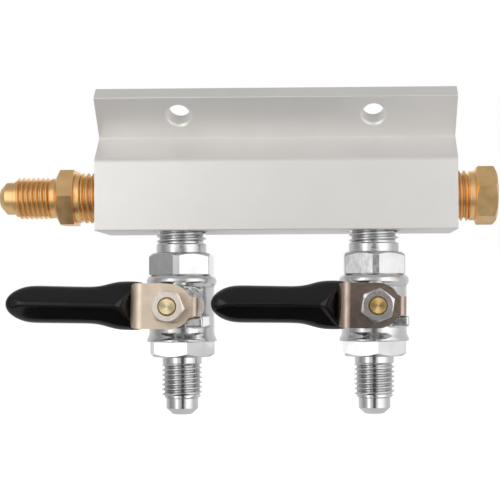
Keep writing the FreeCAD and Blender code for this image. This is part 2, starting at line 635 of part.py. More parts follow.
def valve_body(side, sign):
    body = new_body(side + "_valve_body")
    pipe_root = "pipe_major / 2 - pipe_thread_depth"
    outside = [("0", "-pipe_engagement"), (pipe_root, "-pipe_engagement")]
    outside += pipe_ridges("pipe_engagement", "valve_exposed")
    outside += [
        (pipe_root, "valve_exposed"),
        ("valve_collar / 2", "valve_exposed"),
        ("valve_collar / 2", "rib_top"),
    ]
    for angle in (90, 70, 50, 30, 10, -10, -30):
        radius = "rib_diameter / 2 - rib_round * (1 - cos(%d))" % angle
        outside.append((radius, "rib_top + rib_round * (1 - sin(%d))" % angle))
    outside += [
        ("barrel_diameter / 2", "rib_bottom"),
        ("barrel_diameter / 2", "barrel_bottom"),
        ("rib_diameter / 2", "barrel_bottom + foot_flare"),
        ("rib_diameter / 2", "foot_bottom"),
        ("0", "foot_bottom"),
    ]
    revolve(body, "turning", "XZ_Plane", "V_Axis", hanging(outside))
    sketch = new_sketch(body, "hexagon", "XY_Plane", "-(rib_top)")
    add_outline(sketch, hexagon("valve_flats", "y"))
    pad(body, "wrench_hexagon", sketch, "valve_hex_length")
    chamfer = chamfer_section("valve_flats / 2 - 0.3", "valve_flats", "valve_hex_top", "+")
    revolve(body, "hexagon_chamfer", "XZ_Plane", "V_Axis", hanging(chamfer), cut=True)

    inside_chamber = "cavity_diameter / 4"
    sketch = new_sketch(body, "neck_circle", "XZ_Plane", inside_chamber)
    add_circle(sketch, "neck_diameter", "0", "-stem_drop")
    pad(body, "stem_neck", sketch, "neck_reach - " + inside_chamber)
    sketch = new_sketch(body, "lug_outlines", "XZ_Plane", inside_chamber)
    edge_near = "tab_width / 2 + stop_gap"
    edge_far = "tab_width / 2 + stop_gap + lug_width"
    add_outline(sketch, [
        ("lug_inner", "-stem_drop - (%s)" % edge_far),
        ("lug_outer", "-stem_drop - (%s)" % edge_far),
        ("lug_outer", "-stem_drop - (%s)" % edge_near),
        ("lug_inner", "-stem_drop - (%s)" % edge_near),
    ])
    pad(body, "closed_stop", sketch, "lug_reach - " + inside_chamber)
    sketch = new_sketch(body, "open_stop_outline", "XZ_Plane", "neck_reach")
    stop_top = "-stem_drop - heel_width / 2 - stop_gap"
    add_outline(sketch, [
        ("-heel_outer", stop_top + " - heel_width"),
        ("-heel_inner", stop_top + " - heel_width"),
        ("-heel_inner", stop_top),
        ("-heel_outer", stop_top),
    ])
    pad(body, "open_stop", sketch, "neck_gap - heel_room")

    seat_far = "stem_drop - seat_offset - seat_length"
    inside = [
        ("0", "-pipe_engagement - " + OVERRUN),
        ("flow_bore / 2", "-pipe_engagement - " + OVERRUN),
        ("flow_bore / 2", seat_far),
        ("seat_diameter / 2", seat_far),
        ("seat_diameter / 2", "seat_near"),
        ("cavity_diameter / 2", "seat_near"),
        ("cavity_diameter / 2", "shoulder_drop"),
        ("spigot_diameter / 2", "shoulder_drop"),
        ("spigot_diameter / 2", "foot_bottom + " + OVERRUN),
        ("0", "foot_bottom + " + OVERRUN),
    ]
    revolve(body, "chamber", "XZ_Plane", "V_Axis", hanging(inside), cut=True)
    sketch = new_sketch(body, "neck_bore_circle", "XZ_Plane", inside_chamber)
    add_circle(sketch, "neck_bore", "0", "-stem_drop")
    pocket(body, "neck_bore", sketch, "neck_reach", backwards=True)
    sketch = new_sketch(body, "collar_pocket_circle", "XZ_Plane", inside_chamber)
    add_circle(sketch, "collar_pocket", "0", "-stem_drop")
    pocket(body, "collar_pocket", sketch, "collar_pocket_reach - " + inside_chamber, backwards=True)
    place_valve_part(body, sign)


def outlet_adapter(side, sign):
    body = new_body(side + "_outlet_adapter")
    flare_root = "flare_major / 2 - flare_thread_depth"
    spigot = "spigot_diameter / 2 - spigot_clearance"
    outside = [
        ("0", "spigot_top"),
        (spigot, "spigot_top"),
        (spigot, "foot_bottom"),
        ("valve_collar / 2", "foot_bottom"),
        ("valve_collar / 2", "adapter_hex_bottom"),
        ("flare_neck / 2", "adapter_hex_bottom"),
        ("flare_neck / 2", "adapter_thread_top"),
        (flare_root, "adapter_thread_top"),
    ]
    outside += thread_section(
        "adapter_thread_top", "+", "adapter_thread_length", "flare_pitch", "flare_major", "flare_thread_depth"
    )
    outside += [
        (flare_root, "adapter_thread_bottom"),
        ("nose_diameter / 2", "adapter_thread_bottom"),
        ("nose_diameter / 2", "adapter_nose_bottom"),
        ("nose_end / 2", "outlet_end"),
        ("0", "outlet_end"),
    ]
    revolve(body, "turning", "XZ_Plane", "V_Axis", hanging(outside))
    sketch = new_sketch(body, "hexagon", "XY_Plane", "-(adapter_hex_bottom)")
    add_outline(sketch, hexagon("valve_flats", "y"))
    pad(body, "wrench_hexagon", sketch, "adapter_hex_length")
    chamfer = chamfer_section("valve_flats / 2 - 0.3", "valve_flats", "adapter_hex_bottom", "-")
    revolve(body, "hexagon_chamfer", "XZ_Plane", "V_Axis", hanging(chamfer), cut=True)
    seat_end = "stem_drop + seat_offset + seat_length"
    inside = [
        ("0", "spigot_top - " + OVERRUN),
        ("seat_diameter / 2", "spigot_top - " + OVERRUN),
        ("seat_diameter / 2", seat_end),
        ("check_bore / 2", seat_end),
        ("check_bore / 2", "check_floor"),
        ("adapter_bore / 2", "check_floor"),
        ("adapter_bore / 2", "outlet_end + " + OVERRUN),
        ("0", "outlet_end + " + OVERRUN),
    ]
    revolve(body, "passage", "XZ_Plane", "V_Axis", hanging(inside), cut=True)
    place_valve_part(body, sign, axis=UP_Z, angle=side + "_adapter_turn")


def flat_ring(label, outer, inner, length):
    """A plain ring, standing on its own origin."""
    rim = cylinder(label + "_rim", outer, length)
    hole = cylinder(label + "_hole", inner, length)
    return subtract(label, rim, hole)


def ball_seats(side, sign):
    """Two rings with a hollow that follows the ball, one above it and one below."""
    for name, drop in (
        ("upper", "stem_drop - seat_offset"),
        ("lower", "stem_drop + seat_offset + seat_length"),
    ):
        label = "%s_%s_seat" % (side, name)
        outer = "seat_diameter - 2 * rest_gap"
        blank = flat_ring(label + "_blank", outer, "seat_bore", "seat_length")
        sphere = doc.addObject("Part::Sphere", label + "_sphere")
        bind(sphere, "Radius", "ball_diameter / 2 + ball_clearance")
        above = "seat_length + seat_offset" if name == "lower" else "-seat_offset"
        bind(sphere, "Placement.Base.z", above)
        node = add_node(label, subtract(label, blank, sphere))
        place_valve_part(node, sign, drop)


def body_gasket(side, sign):
    label = side + "_body_gasket"
    outer = "spigot_diameter - 2 * spigot_clearance"
    node = add_node(label, flat_ring(label, outer, "cavity_diameter", "gasket_thickness"))
    place_valve_part(node, sign, "spigot_top")


def torus(label, inner, section):
    """An O-ring around its own Z axis, from its inner diameter and its section."""
    item = add_node(label, doc.addObject("Part::Torus", label))
    bind(item, "Radius1", "(%s + %s) / 2" % (inner, section))
    bind(item, "Radius2", "%s / 2" % section)
    return item


# The check valve in the outlet adapter


def check_valve(side, sign):
    label = side + "_check_seat"
    seat = flat_ring(label, "check_bore - 2 * rest_gap", "check_seat_bore", "check_seat_length")
    place_valve_part(add_node(label, seat), sign, "check_face")

    body = new_body(side + "_check_poppet")
    section = [
        ("0", "check_face - check_seat_length / 2"),
        ("poppet_nose / 2 - 0.3", "check_face - check_seat_length / 2"),
        ("poppet_nose / 2", "check_face"),
        ("poppet_nose / 2", "head_top"),
        ("poppet_head / 2", "head_top"),
        ("poppet_head / 2", "head_top + poppet_head_length"),
        ("poppet_tail / 2", "head_top + poppet_head_length"),
        ("poppet_tail / 2", "head_top + poppet_head_length + poppet_tail_length"),
        ("0", "head_top + poppet_head_length + poppet_tail_length"),
    ]
    revolve(body, "turning", "XZ_Plane", "V_Axis", hanging(section))
    place_valve_part(body, sign)

    ring = torus(side + "_check_o_ring", "(poppet_nose + 2 * rest_gap)", "check_ring_section")
    place_valve_part(ring, sign, "check_face + check_gap + check_ring_section / 2")

    helix = doc.addObject("Part::Helix", side + "_spring_path")
    bind(helix, "Pitch", "spring_pitch")
    bind(helix, "Height", "spring_bottom - (spring_top)")
    bind(helix, "Radius", "spring_diameter / 2")
    place_valve_part(helix, sign, "spring_bottom")
    wire = doc.addObject("Part::Circle", side + "_spring_wire")
    bind(wire, "Radius", "spring_wire / 2")
    place(
        wire,
        sign + "port_spacing / 2 + spring_diameter / 2",
        "port_setback - mount_y",
        "-mount_z - (spring_bottom)",
        UP_X,
        "90",
    )
    doc.recompute()
    spring = add_node(side + "_check_spring", doc.addObject("Part::Sweep", side + "_check_spring"))
    spring.Sections = [wire]
    spring.Spine = (helix, ["Edge%d" % (i + 1) for i in range(len(helix.Shape.Edges))])
    spring.Solid = True
    spring.Frenet = True


# What turns with the lever, modelled from the ball's centre, with the stem along -Y


def outward(points):
    """(radius, distance in front of the valve's axis) pairs as sketch corners along -Y."""
    return [(radius, "-(%s)" % reach) for radius, reach in points]


def place_lever_part(item, side, sign):
    place_valve_part(item, sign, "stem_drop", UP_Y, side + "_lever_lift")


def ball(side, sign):
    """The closed ball: its bore lies along X, and its slot for the stem along Z."""
    label = side + "_ball"
    sphere = doc.addObject("Part::Sphere", label + "_sphere")
    bind(sphere, "Radius", "ball_diameter / 2")
    bore = cylinder(label + "_bore", "ball_bore", "ball_diameter * 2")
    place(bore, "-ball_diameter", "0", "0", UP_Y, "90")
    slot = doc.addObject("Part::Box", label + "_slot")
    bind(slot, "Length", "tang_width + 2 * tang_clearance")
    bind(slot, "Width", "tang_depth + tang_clearance + " + OVERRUN)
    bind(slot, "Height", "ball_diameter")
    place(
        slot,
        "-tang_width / 2 - tang_clearance",
        "-ball_diameter / 2 - " + OVERRUN,
        "-ball_diameter / 2",
    )
    cuts = doc.addObject("Part::MultiFuse", label + "_cuts")
    cuts.Shapes = [bore, slot]
    place_lever_part(add_node(label, subtract(label, sphere, cuts)), side, sign)


def stem(side, sign):
    body = new_body(side + "_stem")
    shaft = "stem_diameter / 2"
    ring_floor = "groove_diameter / 2"
    tip = "thread_diameter / 2 - thread_depth"
    section = [
        ("0", "ball_diameter / 2 + 0.25"),
        ("stem_collar / 2", "ball_diameter / 2 + 0.25"),
        ("stem_collar / 2", "stem_collar_end"),
        (shaft, "stem_collar_end"),
        (shaft, "ring_reach - groove_width / 2"),
        (ring_floor, "ring_reach - groove_width / 2"),
        (ring_floor, "ring_reach + groove_width / 2"),
        (shaft, "ring_reach + groove_width / 2"),
        (shaft, "lever_reach"),
        ("thread_diameter / 2", "lever_reach"),
        ("thread_diameter / 2", "nut_base"),
        (tip, "nut_base"),
    ]
    section += thread_section("nut_base", "+", "nut_height", "thread_pitch", "thread_diameter", "thread_depth")
    section += [
        (tip, "nut_base + nut_height - 0.1"),
        ("thread_diameter / 2", "nut_base + nut_height"),
        ("thread_diameter / 2", "stem_end - 0.2"),
        ("thread_diameter / 2 - 0.2", "stem_end"),
        ("0", "stem_end"),
    ]
    revolve(body, "turning", "XY_Plane", "V_Axis", outward(section))
    sketch = new_sketch(body, "tang_outline", "XZ_Plane", "tang_start")
    add_outline(sketch, [
        ("-tang_width / 2", "-tang_length / 2"),
        ("tang_width / 2", "-tang_length / 2"),
        ("tang_width / 2", "tang_length / 2"),
        ("-tang_width / 2", "tang_length / 2"),
    ])
    pad(body, "tang", sketch, "tang_depth + 0.5")
    sketch = new_sketch(body, "flat_outlines", "XZ_Plane", "lever_reach")
    for sign_x in ("-", ""):
        far = "thread_diameter"
        add_outline(sketch, [
            (sign_x + "flat_width / 2", "-" + far),
            (sign_x + far, "-" + far),
            (sign_x + far, far),
            (sign_x + "flat_width / 2", far),
        ])
    pocket(body, "lever_flats", sketch, "lever_thickness", backwards=True)
    place_lever_part(body, side, sign)


def stem_washer(side, sign):
    """The thrust washer between the stem's collar and the floor of its pocket."""
    label = side + "_stem_washer"
    ring = flat_ring(label, "stem_collar", "washer_bore", "washer_thickness")
    node = add_node(label, ring)
    place(
        node,
        sign + "port_spacing / 2",
        "port_setback - mount_y - (collar_pocket_reach - washer_thickness - rest_gap)",
        "-mount_z - stem_drop",
        UP_X,
        "90",
    )


def stem_o_ring(side, sign):
    ring = torus(side + "_stem_o_ring", "(groove_diameter + rest_gap * 2)", "ring_section")
    place(
        ring,
        sign + "port_spacing / 2",
        "port_setback - mount_y - ring_reach",
        "-mount_z - stem_drop",
        UP_X,
        "90",
    )


def lever(side, sign):
    """A folded strip: stop tab, hub, fold and the arm inside the grip."""
    body = new_body(side + "_lever")
    front = "nut_base"
    back = "lever_reach"
    arm_front = "arm_back + lever_thickness"
    tab_end = "nut_base - tab_drop"
    fold_end = "lever_hub + lever_fold"
    fold_wall = "lever_thickness * tan(atan(lever_drop / lever_fold) / 2)"
    sketch = new_sketch(body, "strip_section", "XY_Plane")
    corners = [
        ("-arm_end", "arm_back"),
        ("-(%s)" % fold_end, "arm_back"),
        ("-(%s) + %s" % (fold_end, fold_wall), "arm_back"),
        ("-lever_hub + " + fold_wall, back),
        ("tab_reach - lever_thickness", back),
        ("tab_reach - lever_thickness + tab_slant", tab_end),
        ("tab_reach + tab_slant", tab_end),
        ("tab_reach", front),
        ("-lever_hub", front),
        ("-(%s)" % fold_end, arm_front),
        ("-arm_end", arm_front),
    ]
    add_outline(sketch, [(x, "-(%s)" % y) for x, y in corners])
    pad(body, "strip", sketch, "lever_width", both_ways=True)

    sketch = new_sketch(body, "plan_trim", "XZ_Plane")
    far = "lever_width"
    for up in ("", "-"):
        round_end = [
            ("lever_width / 2 * sin(%d)" % angle, up + "lever_width / 2 * cos(%d)" % angle)
            for angle in (0, 18, 36, 54)
        ]
        add_outline(sketch, round_end + [
            ("sqrt(lever_width ^ 2 - tab_width ^ 2) / 2", up + "tab_width / 2"),
            ("tab_reach * 2", up + "tab_width / 2"),
            ("tab_reach * 2", up + far),
            ("0", up + far),
        ])
        add_outline(sketch, [
            ("-(%s) - arm_shoulder" % fold_end, up + "arm_width / 2"),
            ("-arm_end - 1", up + "arm_width / 2"),
            ("-arm_end - 1", up + far),
            ("-(%s) - arm_shoulder" % fold_end, up + far),
        ])
    pocket(body, "outline_trim", sketch, None, backwards=True)

    sketch = new_sketch(body, "stem_hole_outline", "XZ_Plane", back)
    half_flat = "(flat_width / 2 + lever_clearance)"
    half_round = "(thread_diameter / 2 + lever_clearance)"
    arc = []
    for share in (1, 0.7, 0.35, 0, -0.35, -0.7, -1):
        x = "%s * %s" % (half_flat, share)
        arc.append((x, "sqrt(%s ^ 2 - (%s) ^ 2)" % (half_round, x)))
    add_outline(sketch, arc + [(x, "-" + z) for x, z in reversed(arc)])
    pocket(body, "stem_hole", sketch, "lever_thickness + " + OVERRUN, both_ways=True)

    sketch = new_sketch(body, "heel_outline", "XZ_Plane", "neck_reach + heel_room")
    add_outline(sketch, [
        ("-heel_width / 2", "heel_inner"),
        ("heel_width / 2", "heel_inner"),
        ("heel_width / 2", "heel_outer"),
        ("-heel_width / 2", "heel_outer"),
    ])
    pad(body, "heel", sketch, "neck_gap - heel_room")
    place_lever_part(body, side, sign)


# The round of the grip's tip: shares of its length, and of its half width there
TIP_SHAPE = ((0.35, 0.93), (0.6, 0.78), (0.8, 0.57), (0.94, 0.31))


def grip(side, sign):
    """The dipped grip: a ridged handle with a sloping chevron and an open mouth."""
    body = new_body(side + "_grip")
    wide = "grip_wide / 2"
    narrow = "grip_narrow / 2"
    sketch = new_sketch(body, "plan", "XZ_Plane", "grip_back")
    half = [
        ("-grip_mouth", wide),
        ("-shoulder_end", wide),
        ("-taper_end", narrow),
        ("-tip_start", narrow),
    ]
    for share, width in TIP_SHAPE:
        half.append(("-tip_start - (grip_tip - tip_start) * %s" % share, "%s * %s" % (narrow, width)))
    mirrored = [(x, "-(%s)" % z) for x, z in reversed(half)]
    add_outline(sketch, half + [("-grip_tip", "0")] + mirrored)
    pad(body, "blank", sketch, "ridge_reach - grip_back")

    sketch = new_sketch(body, "roof_cuts", "YZ_Plane")
    for up in ("", "-"):
        slope = "(ridge_reach - grip_edge) / (%s)" % narrow
        add_outline(sketch, [
            ("-ridge_reach", "0"),
            ("-ridge_reach + (%s) * grip_wide" % slope, up + "grip_wide"),
            ("-ridge_reach - 1", up + "grip_wide"),
            ("-ridge_reach - 1", "0"),
        ])
    pocket(body, "roof", sketch, "grip_tip * 3", both_ways=True)

    sketch = new_sketch(body, "chevron_cut", "XY_Plane")
    add_outline(sketch, [
        ("-chevron_start", "-ridge_reach"),
        ("-grip_hollow", "-ridge_reach + chevron_fall"),
        ("-grip_hollow + 1", "-ridge_reach + chevron_fall"),
        ("-grip_hollow + 1", "-ridge_reach - 1"),
        ("-chevron_start", "-ridge_reach - 1"),
    ])
    pocket(body, "chevron", sketch, "lever_width + 2 * cheek_clearance", both_ways=True)

    sketch = new_sketch(body, "mouth_cut", "XZ_Plane")
    cheek = "lever_width / 2 + cheek_clearance"
    add_outline(sketch, [
        ("-grip_hollow", "-(%s)" % cheek),
        ("-grip_mouth + 1", "-(%s)" % cheek),
        ("-grip_mouth + 1", cheek),
        ("-grip_hollow", cheek),
    ])
    pocket(body, "mouth", sketch, None, backwards=True)

    sketch = new_sketch(body, "arm_slot_outline", "XZ_Plane", "arm_back - grip_clearance")
    arm = "arm_width / 2 + grip_clearance"
    add_outline(sketch, [
        ("-arm_end - grip_clearance", "-(%s)" % arm),
        ("-grip_hollow + 1", "-(%s)" % arm),
        ("-grip_hollow + 1", arm),
        ("-arm_end - grip_clearance", arm),
    ])
    pocket(body, "arm_slot", sketch, "lever_thickness + 2 * grip_clearance", backwards=True)
    place_lever_part(body, side, sign)


def lever_nut(side, sign):
    body = new_body(side + "_lever_nut")
    sketch = new_sketch(body, "hexagon", "XZ_Plane", "nut_base")
    add_outline(sketch, hexagon("nut_flats", "y"))
    pad(body, "nut_blank", sketch, "nut_height")
    chamfer = chamfer_section("nut_flats / 2 - 0.1", "nut_flats", "nut_base + nut_height", "-")
    revolve(body, "nut_chamfer", "XY_Plane", "V_Axis", outward(chamfer), cut=True)
    bore = bore_section("(thread_diameter + 2 * lever_clearance)", "nut_base", "nut_base + nut_height")
    revolve(body, "nut_bore", "XY_Plane", "V_Axis", outward(bore), cut=True)
    place_valve_part(body, sign, "stem_drop", UP_Y, side + "_nut_turn")


manifold_body()
inlet_fitting()
end_plug()
for side, sign in SIDES:
    valve_body(side, sign)
    outlet_adapter(side, sign)
    body_gasket(side, sign)
    ball_seats(side, sign)
    check_valve(side, sign)
    ball(side, sign)
    stem(side, sign)
    stem_washer(side, sign)
    stem_o_ring(side, sign)
    lever(side, sign)
    grip(side, sign)
    lever_nut(side, sign)
doc.recompute()

faults = []
for item in doc.Objects:
    if "Invalid" in item.State or "Error" in item.State:
        faults.append("%s: %s" % (item.Label, item.State))
for label, item in nodes.items():
    if item.Shape.isNull() or not item.Shape.isValid() or len(item.Shape.Solids) != 1:
        faults.append("%s: bad shape" % label)
    else:
        box = item.Shape.BoundBox
        print("%-22s %9.1f mm3  x %7.2f %7.2f  y %7.2f %7.2f  z %7.2f %7.2f" % (
            label, item.Shape.Volume, box.XMin, box.XMax, box.YMin, box.YMax, box.ZMin, box.ZMax
        ))
if faults:
    raise RuntimeError("; ".join(faults))

os.makedirs("parts", exist_ok=True)
for label, item in nodes.items():
    item.Shape.exportStep("parts/%s.step" % label)
print(len(nodes), "nodes written")
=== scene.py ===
# %% [markdown]
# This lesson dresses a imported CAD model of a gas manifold: an aluminium block with two plated
# ball valves under it. The CAD model gives every place and size, so nothing here is fitted by
# eye.

# %% Load the frame
import json
import math

import bpy
from mathutils import Matrix, Vector

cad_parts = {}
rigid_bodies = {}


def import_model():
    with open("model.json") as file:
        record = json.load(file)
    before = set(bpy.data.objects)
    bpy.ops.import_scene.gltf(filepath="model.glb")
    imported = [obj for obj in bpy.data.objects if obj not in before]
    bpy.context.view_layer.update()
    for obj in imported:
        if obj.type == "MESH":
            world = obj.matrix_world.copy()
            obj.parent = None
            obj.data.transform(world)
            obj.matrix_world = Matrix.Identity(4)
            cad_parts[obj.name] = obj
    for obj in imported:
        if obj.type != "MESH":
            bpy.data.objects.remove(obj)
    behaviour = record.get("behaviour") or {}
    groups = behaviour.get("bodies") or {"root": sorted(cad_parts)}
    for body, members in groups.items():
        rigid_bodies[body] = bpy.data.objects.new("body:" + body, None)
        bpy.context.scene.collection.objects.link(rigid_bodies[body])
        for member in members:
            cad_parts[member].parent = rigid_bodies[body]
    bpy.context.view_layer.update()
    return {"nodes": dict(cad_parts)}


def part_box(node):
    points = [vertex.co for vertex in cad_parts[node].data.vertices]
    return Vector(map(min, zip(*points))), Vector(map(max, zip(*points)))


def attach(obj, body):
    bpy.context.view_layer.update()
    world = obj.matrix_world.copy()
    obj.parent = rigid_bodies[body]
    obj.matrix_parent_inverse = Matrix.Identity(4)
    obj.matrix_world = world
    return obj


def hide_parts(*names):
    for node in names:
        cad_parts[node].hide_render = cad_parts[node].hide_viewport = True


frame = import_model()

print("CAD nodes:", len(frame["nodes"]))

# %% [markdown]
# Everything is modelled in millimetres round the world's centre, because thread and bevel sizes
# are easy to read that way. A finished piece is then shrunk to metres and put in its place.
# The places that pieces are hung from could be typed in, but here they are read from the CAD
# nodes' boxes, so that they can't drift away from the model.

# %% Measure the places
MM = 0.001
SIDES = ("left", "right")
SETBACK = 8.3  # the block's front face to the axes of valves, inlet and plug
GALLERY_HEIGHT = 9.1  # the block's underside to the axis of inlet and plug
HALF_LENGTH = 47
HALF_PITCH = 25.4  # middle of the block to an outlet, and to a screw hole


def middle(node):
    """Centre of a CAD node's box, in millimetres."""
    low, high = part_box(node)
    return (low + high) / 2 / MM


UNDERSIDE = (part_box("manifold_body")[0] / MM).z
PORT = {side: Vector((*middle(side + "_upper_seat").xy, UNDERSIDE)) for side in SIDES}
STEM = {side: Vector((*PORT[side].xy, middle(side + "_ball").z)) for side in SIDES}
AXIS_Y = PORT["left"].y
FRONT = AXIS_Y - SETBACK
print("ports:", [tuple(round(v, 2) for v in PORT[side]) for side in SIDES])

# %% [markdown]
# The camera stands where the photographer's did: 322 mm in front of the block, a little to the
# right of its centre and below it. A 90 mm lens on a 36 mm sensor gives the photo's perspective.
# The lens is shifted, because the photo is a crop of a wider picture.

# %% Camera
CAMERA_PLACE = Vector((14.6, FRONT - 322.1, UNDERSIDE - 17.93)) * MM
camera_data = bpy.data.cameras.new("camera")
camera_data.lens = 90
camera_data.sensor_width = 36
camera_data.shift_x = -0.118
camera_data.shift_y = 0.098
camera = bpy.data.objects.new("camera", camera_data)
bpy.context.scene.collection.objects.link(camera)
camera.location = CAMERA_PLACE
TURN_LEFT = math.radians(1.1)
ROLL = math.radians(-0.3)
camera.matrix_world = (
    Matrix.Translation(CAMERA_PLACE)
    @ Matrix.Rotation(TURN_LEFT, 4, "Z")
    @ Matrix.Rotation(math.radians(90), 4, "X")
    @ Matrix.Rotation(ROLL, 4, "Z")
)
bpy.context.scene.camera = camera
print("camera at", [round(v, 4) for v in CAMERA_PLACE])

# %% [markdown]
# The helpers below do what a modeller does by hand. Meshes could also be typed in as lists of
# vertices, but operators and modifiers give clean shapes from a few sizes. Operators act on what
# is selected, so the first helpers clear the selection, pick a piece, and enter or leave edit mode.

# %% Helpers: selection and modifiers
WELD = 0.0005  # vertices nearer than this are one vertex


def clear_selection():
    if bpy.context.object and bpy.context.object.mode != "OBJECT":
        bpy.ops.object.mode_set(mode="OBJECT")
    bpy.ops.object.select_all(action="DESELECT")


def pick(piece):
    clear_selection()
    piece.select_set(True)
    bpy.context.view_layer.objects.active = piece


def edit(piece):
    pick(piece)
    bpy.ops.object.mode_set(mode="EDIT")
    bpy.ops.mesh.select_all(action="SELECT")


def leave():
    bpy.ops.object.mode_set(mode="OBJECT")


def tidy_mesh(piece):
    """Merges doubles and turns every face outwards."""
    edit(piece)
    bpy.ops.mesh.remove_doubles(threshold=WELD)
    bpy.ops.mesh.normals_make_consistent(inside=False)
    leave()
    return piece


def modify(piece, kind, **values):
    """Adds a modifier with these values and applies it."""
    pick(piece)
    modifier = piece.modifiers.new(kind.lower(), kind)
    for name, value in values.items():
        setattr(modifier, name, value)
    bpy.ops.object.modifier_apply(modifier=modifier.name)
    return piece


def bevel(piece, width, segments=2, angle=28):
    """Rounds every edge that turns by more than angle degrees."""
    return modify(
        piece, "BEVEL", width=width, segments=segments, limit_method="ANGLE",
        angle_limit=math.radians(angle), harden_normals=False, use_clamp_overlap=True,
    )


def boolean(piece, tool, operation):
    """Cuts, joins or intersects piece with tool, which is used up."""
    modify(piece, "BOOLEAN", object=tool, operation=operation, solver="EXACT")
    bpy.data.objects.remove(tool)
    return piece


def join(name, parts):
    """Makes one piece of several, with the first one's transform."""
    clear_selection()
    for part in parts:
        part.select_set(True)
    bpy.context.view_layer.objects.active = parts[0]
    bpy.ops.object.join()
    whole = parts[0]
    whole.name = name
    whole.data.name = name
    return whole


def turn_and_move(piece, turn=(0, 0, 0), move=(0, 0, 0), scale=1.0):
    """Turns a piece about the world's centre, then moves and scales it, all in its mesh."""
    matrix = Matrix.Translation(move) @ Matrix.Diagonal((scale, scale, scale, 1))
    for axis, angle in zip("XYZ", turn):
        matrix = matrix @ Matrix.Rotation(math.radians(angle), 4, axis)
    pick(piece)
    piece.matrix_world = matrix @ piece.matrix_world
    bpy.ops.object.transform_apply(location=True, rotation=True, scale=True)
    return piece


print("selection and modifier helpers ready")

# %% [markdown]
# Turned parts could start as a cylinder, but then every step in their outline would be one more
# cut. Here the half section starts as a plane merged to one vertex. The vertex is extruded along
# the section and the line is spun round Z, like a form tool on a lathe. A hexagon bar gets its
# round chamfers from a lathe tool, and a prism is a filled outline that is pulled out.

# %% Helpers: lathe, hexagon, prism


def section_line(name, points):
    """A line of vertices through (x, z) points, made by extruding a single vertex."""
    clear_selection()
    bpy.ops.mesh.primitive_plane_add(size=1, location=(0, 0, 0))
    piece = bpy.context.object
    piece.name = name
    bpy.ops.object.mode_set(mode="EDIT")
    bpy.ops.mesh.merge(type="CENTER")
    x, z = points[0]
    bpy.ops.transform.translate(value=(x, 0, z))
    for next_x, next_z in points[1:]:
        move = {"value": (next_x - x, 0, next_z - z)}
        bpy.ops.mesh.extrude_region_move(TRANSFORM_OT_translate=move)
        x, z = next_x, next_z
    leave()
    return piece


def lathe(name, points, steps=72):
    """Spins a half section of (x, z) points round Z."""
    piece = section_line(name, points)
    edit(piece)
    bpy.ops.mesh.spin(steps=steps, angle=2 * math.pi, center=(0, 0, 0), axis=(0, 0, 1))
    leave()
    return tidy_mesh(piece)


def hexagon(name, flats, low, high, chamfer_low=None, chamfer_high=None, turn=0):
    """A hexagon bar along Z with a corner towards -Y. A chamfer is its face radius."""
    clear_selection()
    corner = flats / math.sqrt(3)
    bpy.ops.mesh.primitive_cylinder_add(
        vertices=6, radius=corner, depth=high - low, location=(0, 0, (low + high) / 2)
    )
    piece = bpy.context.object
    piece.name = name
    bpy.ops.object.transform_apply(location=True, rotation=True, scale=True)
    slope = math.tan(math.radians(30))
    wide = corner + 1  # the tool's radius where it doesn't cut
    outline = [(0, low)]
    if chamfer_low is not None:
        outline += [(chamfer_low, low), (wide, low + (wide - chamfer_low) * slope)]
    else:
        outline += [(wide, low)]
    if chamfer_high is not None:
        outline += [(wide, high - (wide - chamfer_high) * slope), (chamfer_high, high)]
    else:
        outline += [(wide, high)]
    outline += [(0, high)]
    boolean(piece, lathe("chamfer_tool", outline, 96), "INTERSECT")
    return turn_and_move(piece, turn=(0, 0, turn))


def prism(name, outline, low, high):
    """An outline of (x, y) points, filled and extruded along Z."""
    piece = section_line(name, outline)
    turn_and_move(piece, turn=(-90, 0, 0))
    edit(piece)
    bpy.ops.mesh.edge_face_add()
    bpy.ops.transform.translate(value=(0, 0, low))
    bpy.ops.mesh.extrude_region_move(TRANSFORM_OT_translate={"value": (0, 0, high - low)})
    leave()
    return tidy_mesh(piece)


print("shape helpers ready")

# %% [markdown]
# A screw thread could be a stack of rings or a bump in a material, but its crests slope and show
# in the outline. So one tooth's section is wound with the Screw modifier and cut off square at
# both ends. Its first and last turns are trimmed to a cone, as the chamfer on a real thread does.

# %% Helper: helical thread


def thread(name, crest, depth, pitch, start, end, low_trim=0.0, high_trim=0.0, taper=0.0):
    """A closed bar with a right-hand thread from start to end along Z.

    The thread rises from its root over low_trim and falls to it over high_trim. The taper is
    the radius lost per millimetre, as on a pipe thread.
    """
    top, bottom = crest / 2, crest / 2 - depth
    tooth = [(bottom, 0), (bottom, 0.12 * pitch), (top, 0.44 * pitch), (top, 0.56 * pitch),
             (bottom, 0.88 * pitch), (bottom, pitch)]
    piece = section_line(name, [(r, z + start - 1.5 * pitch) for r, z in tooth])
    turns = math.ceil((end - start) / pitch) + 3
    modify(
        piece, "SCREW", axis="Z", angle=2 * math.pi, screw_offset=pitch, iterations=turns,
        steps=64, render_steps=64, use_merge_vertices=True, merge_threshold=0.001,
        use_smooth_shade=False,
    )
    edit(piece)
    bpy.ops.mesh.remove_doubles(threshold=WELD)
    for height, side in ((start, "clear_inner"), (end, "clear_outer")):
        bpy.ops.mesh.select_all(action="SELECT")
        bpy.ops.mesh.bisect(plane_co=(0, 0, height), plane_no=(0, 0, 1), use_fill=True,
                            **{side: True})
    leave()
    for vertex in piece.data.vertices:
        radius = math.hypot(vertex.co.x, vertex.co.y)
        limit = top - taper * (vertex.co.z - start)
        if low_trim:
            limit = min(limit, bottom + max(0.0, vertex.co.z - start) * depth / low_trim)
        if high_trim:
            limit = min(limit, bottom + max(0.0, end - vertex.co.z) * depth / high_trim)
        if radius > limit:
            vertex.co.x *= limit / radius
            vertex.co.y *= limit / radius
    return tidy_mesh(piece)


print("thread helper ready")

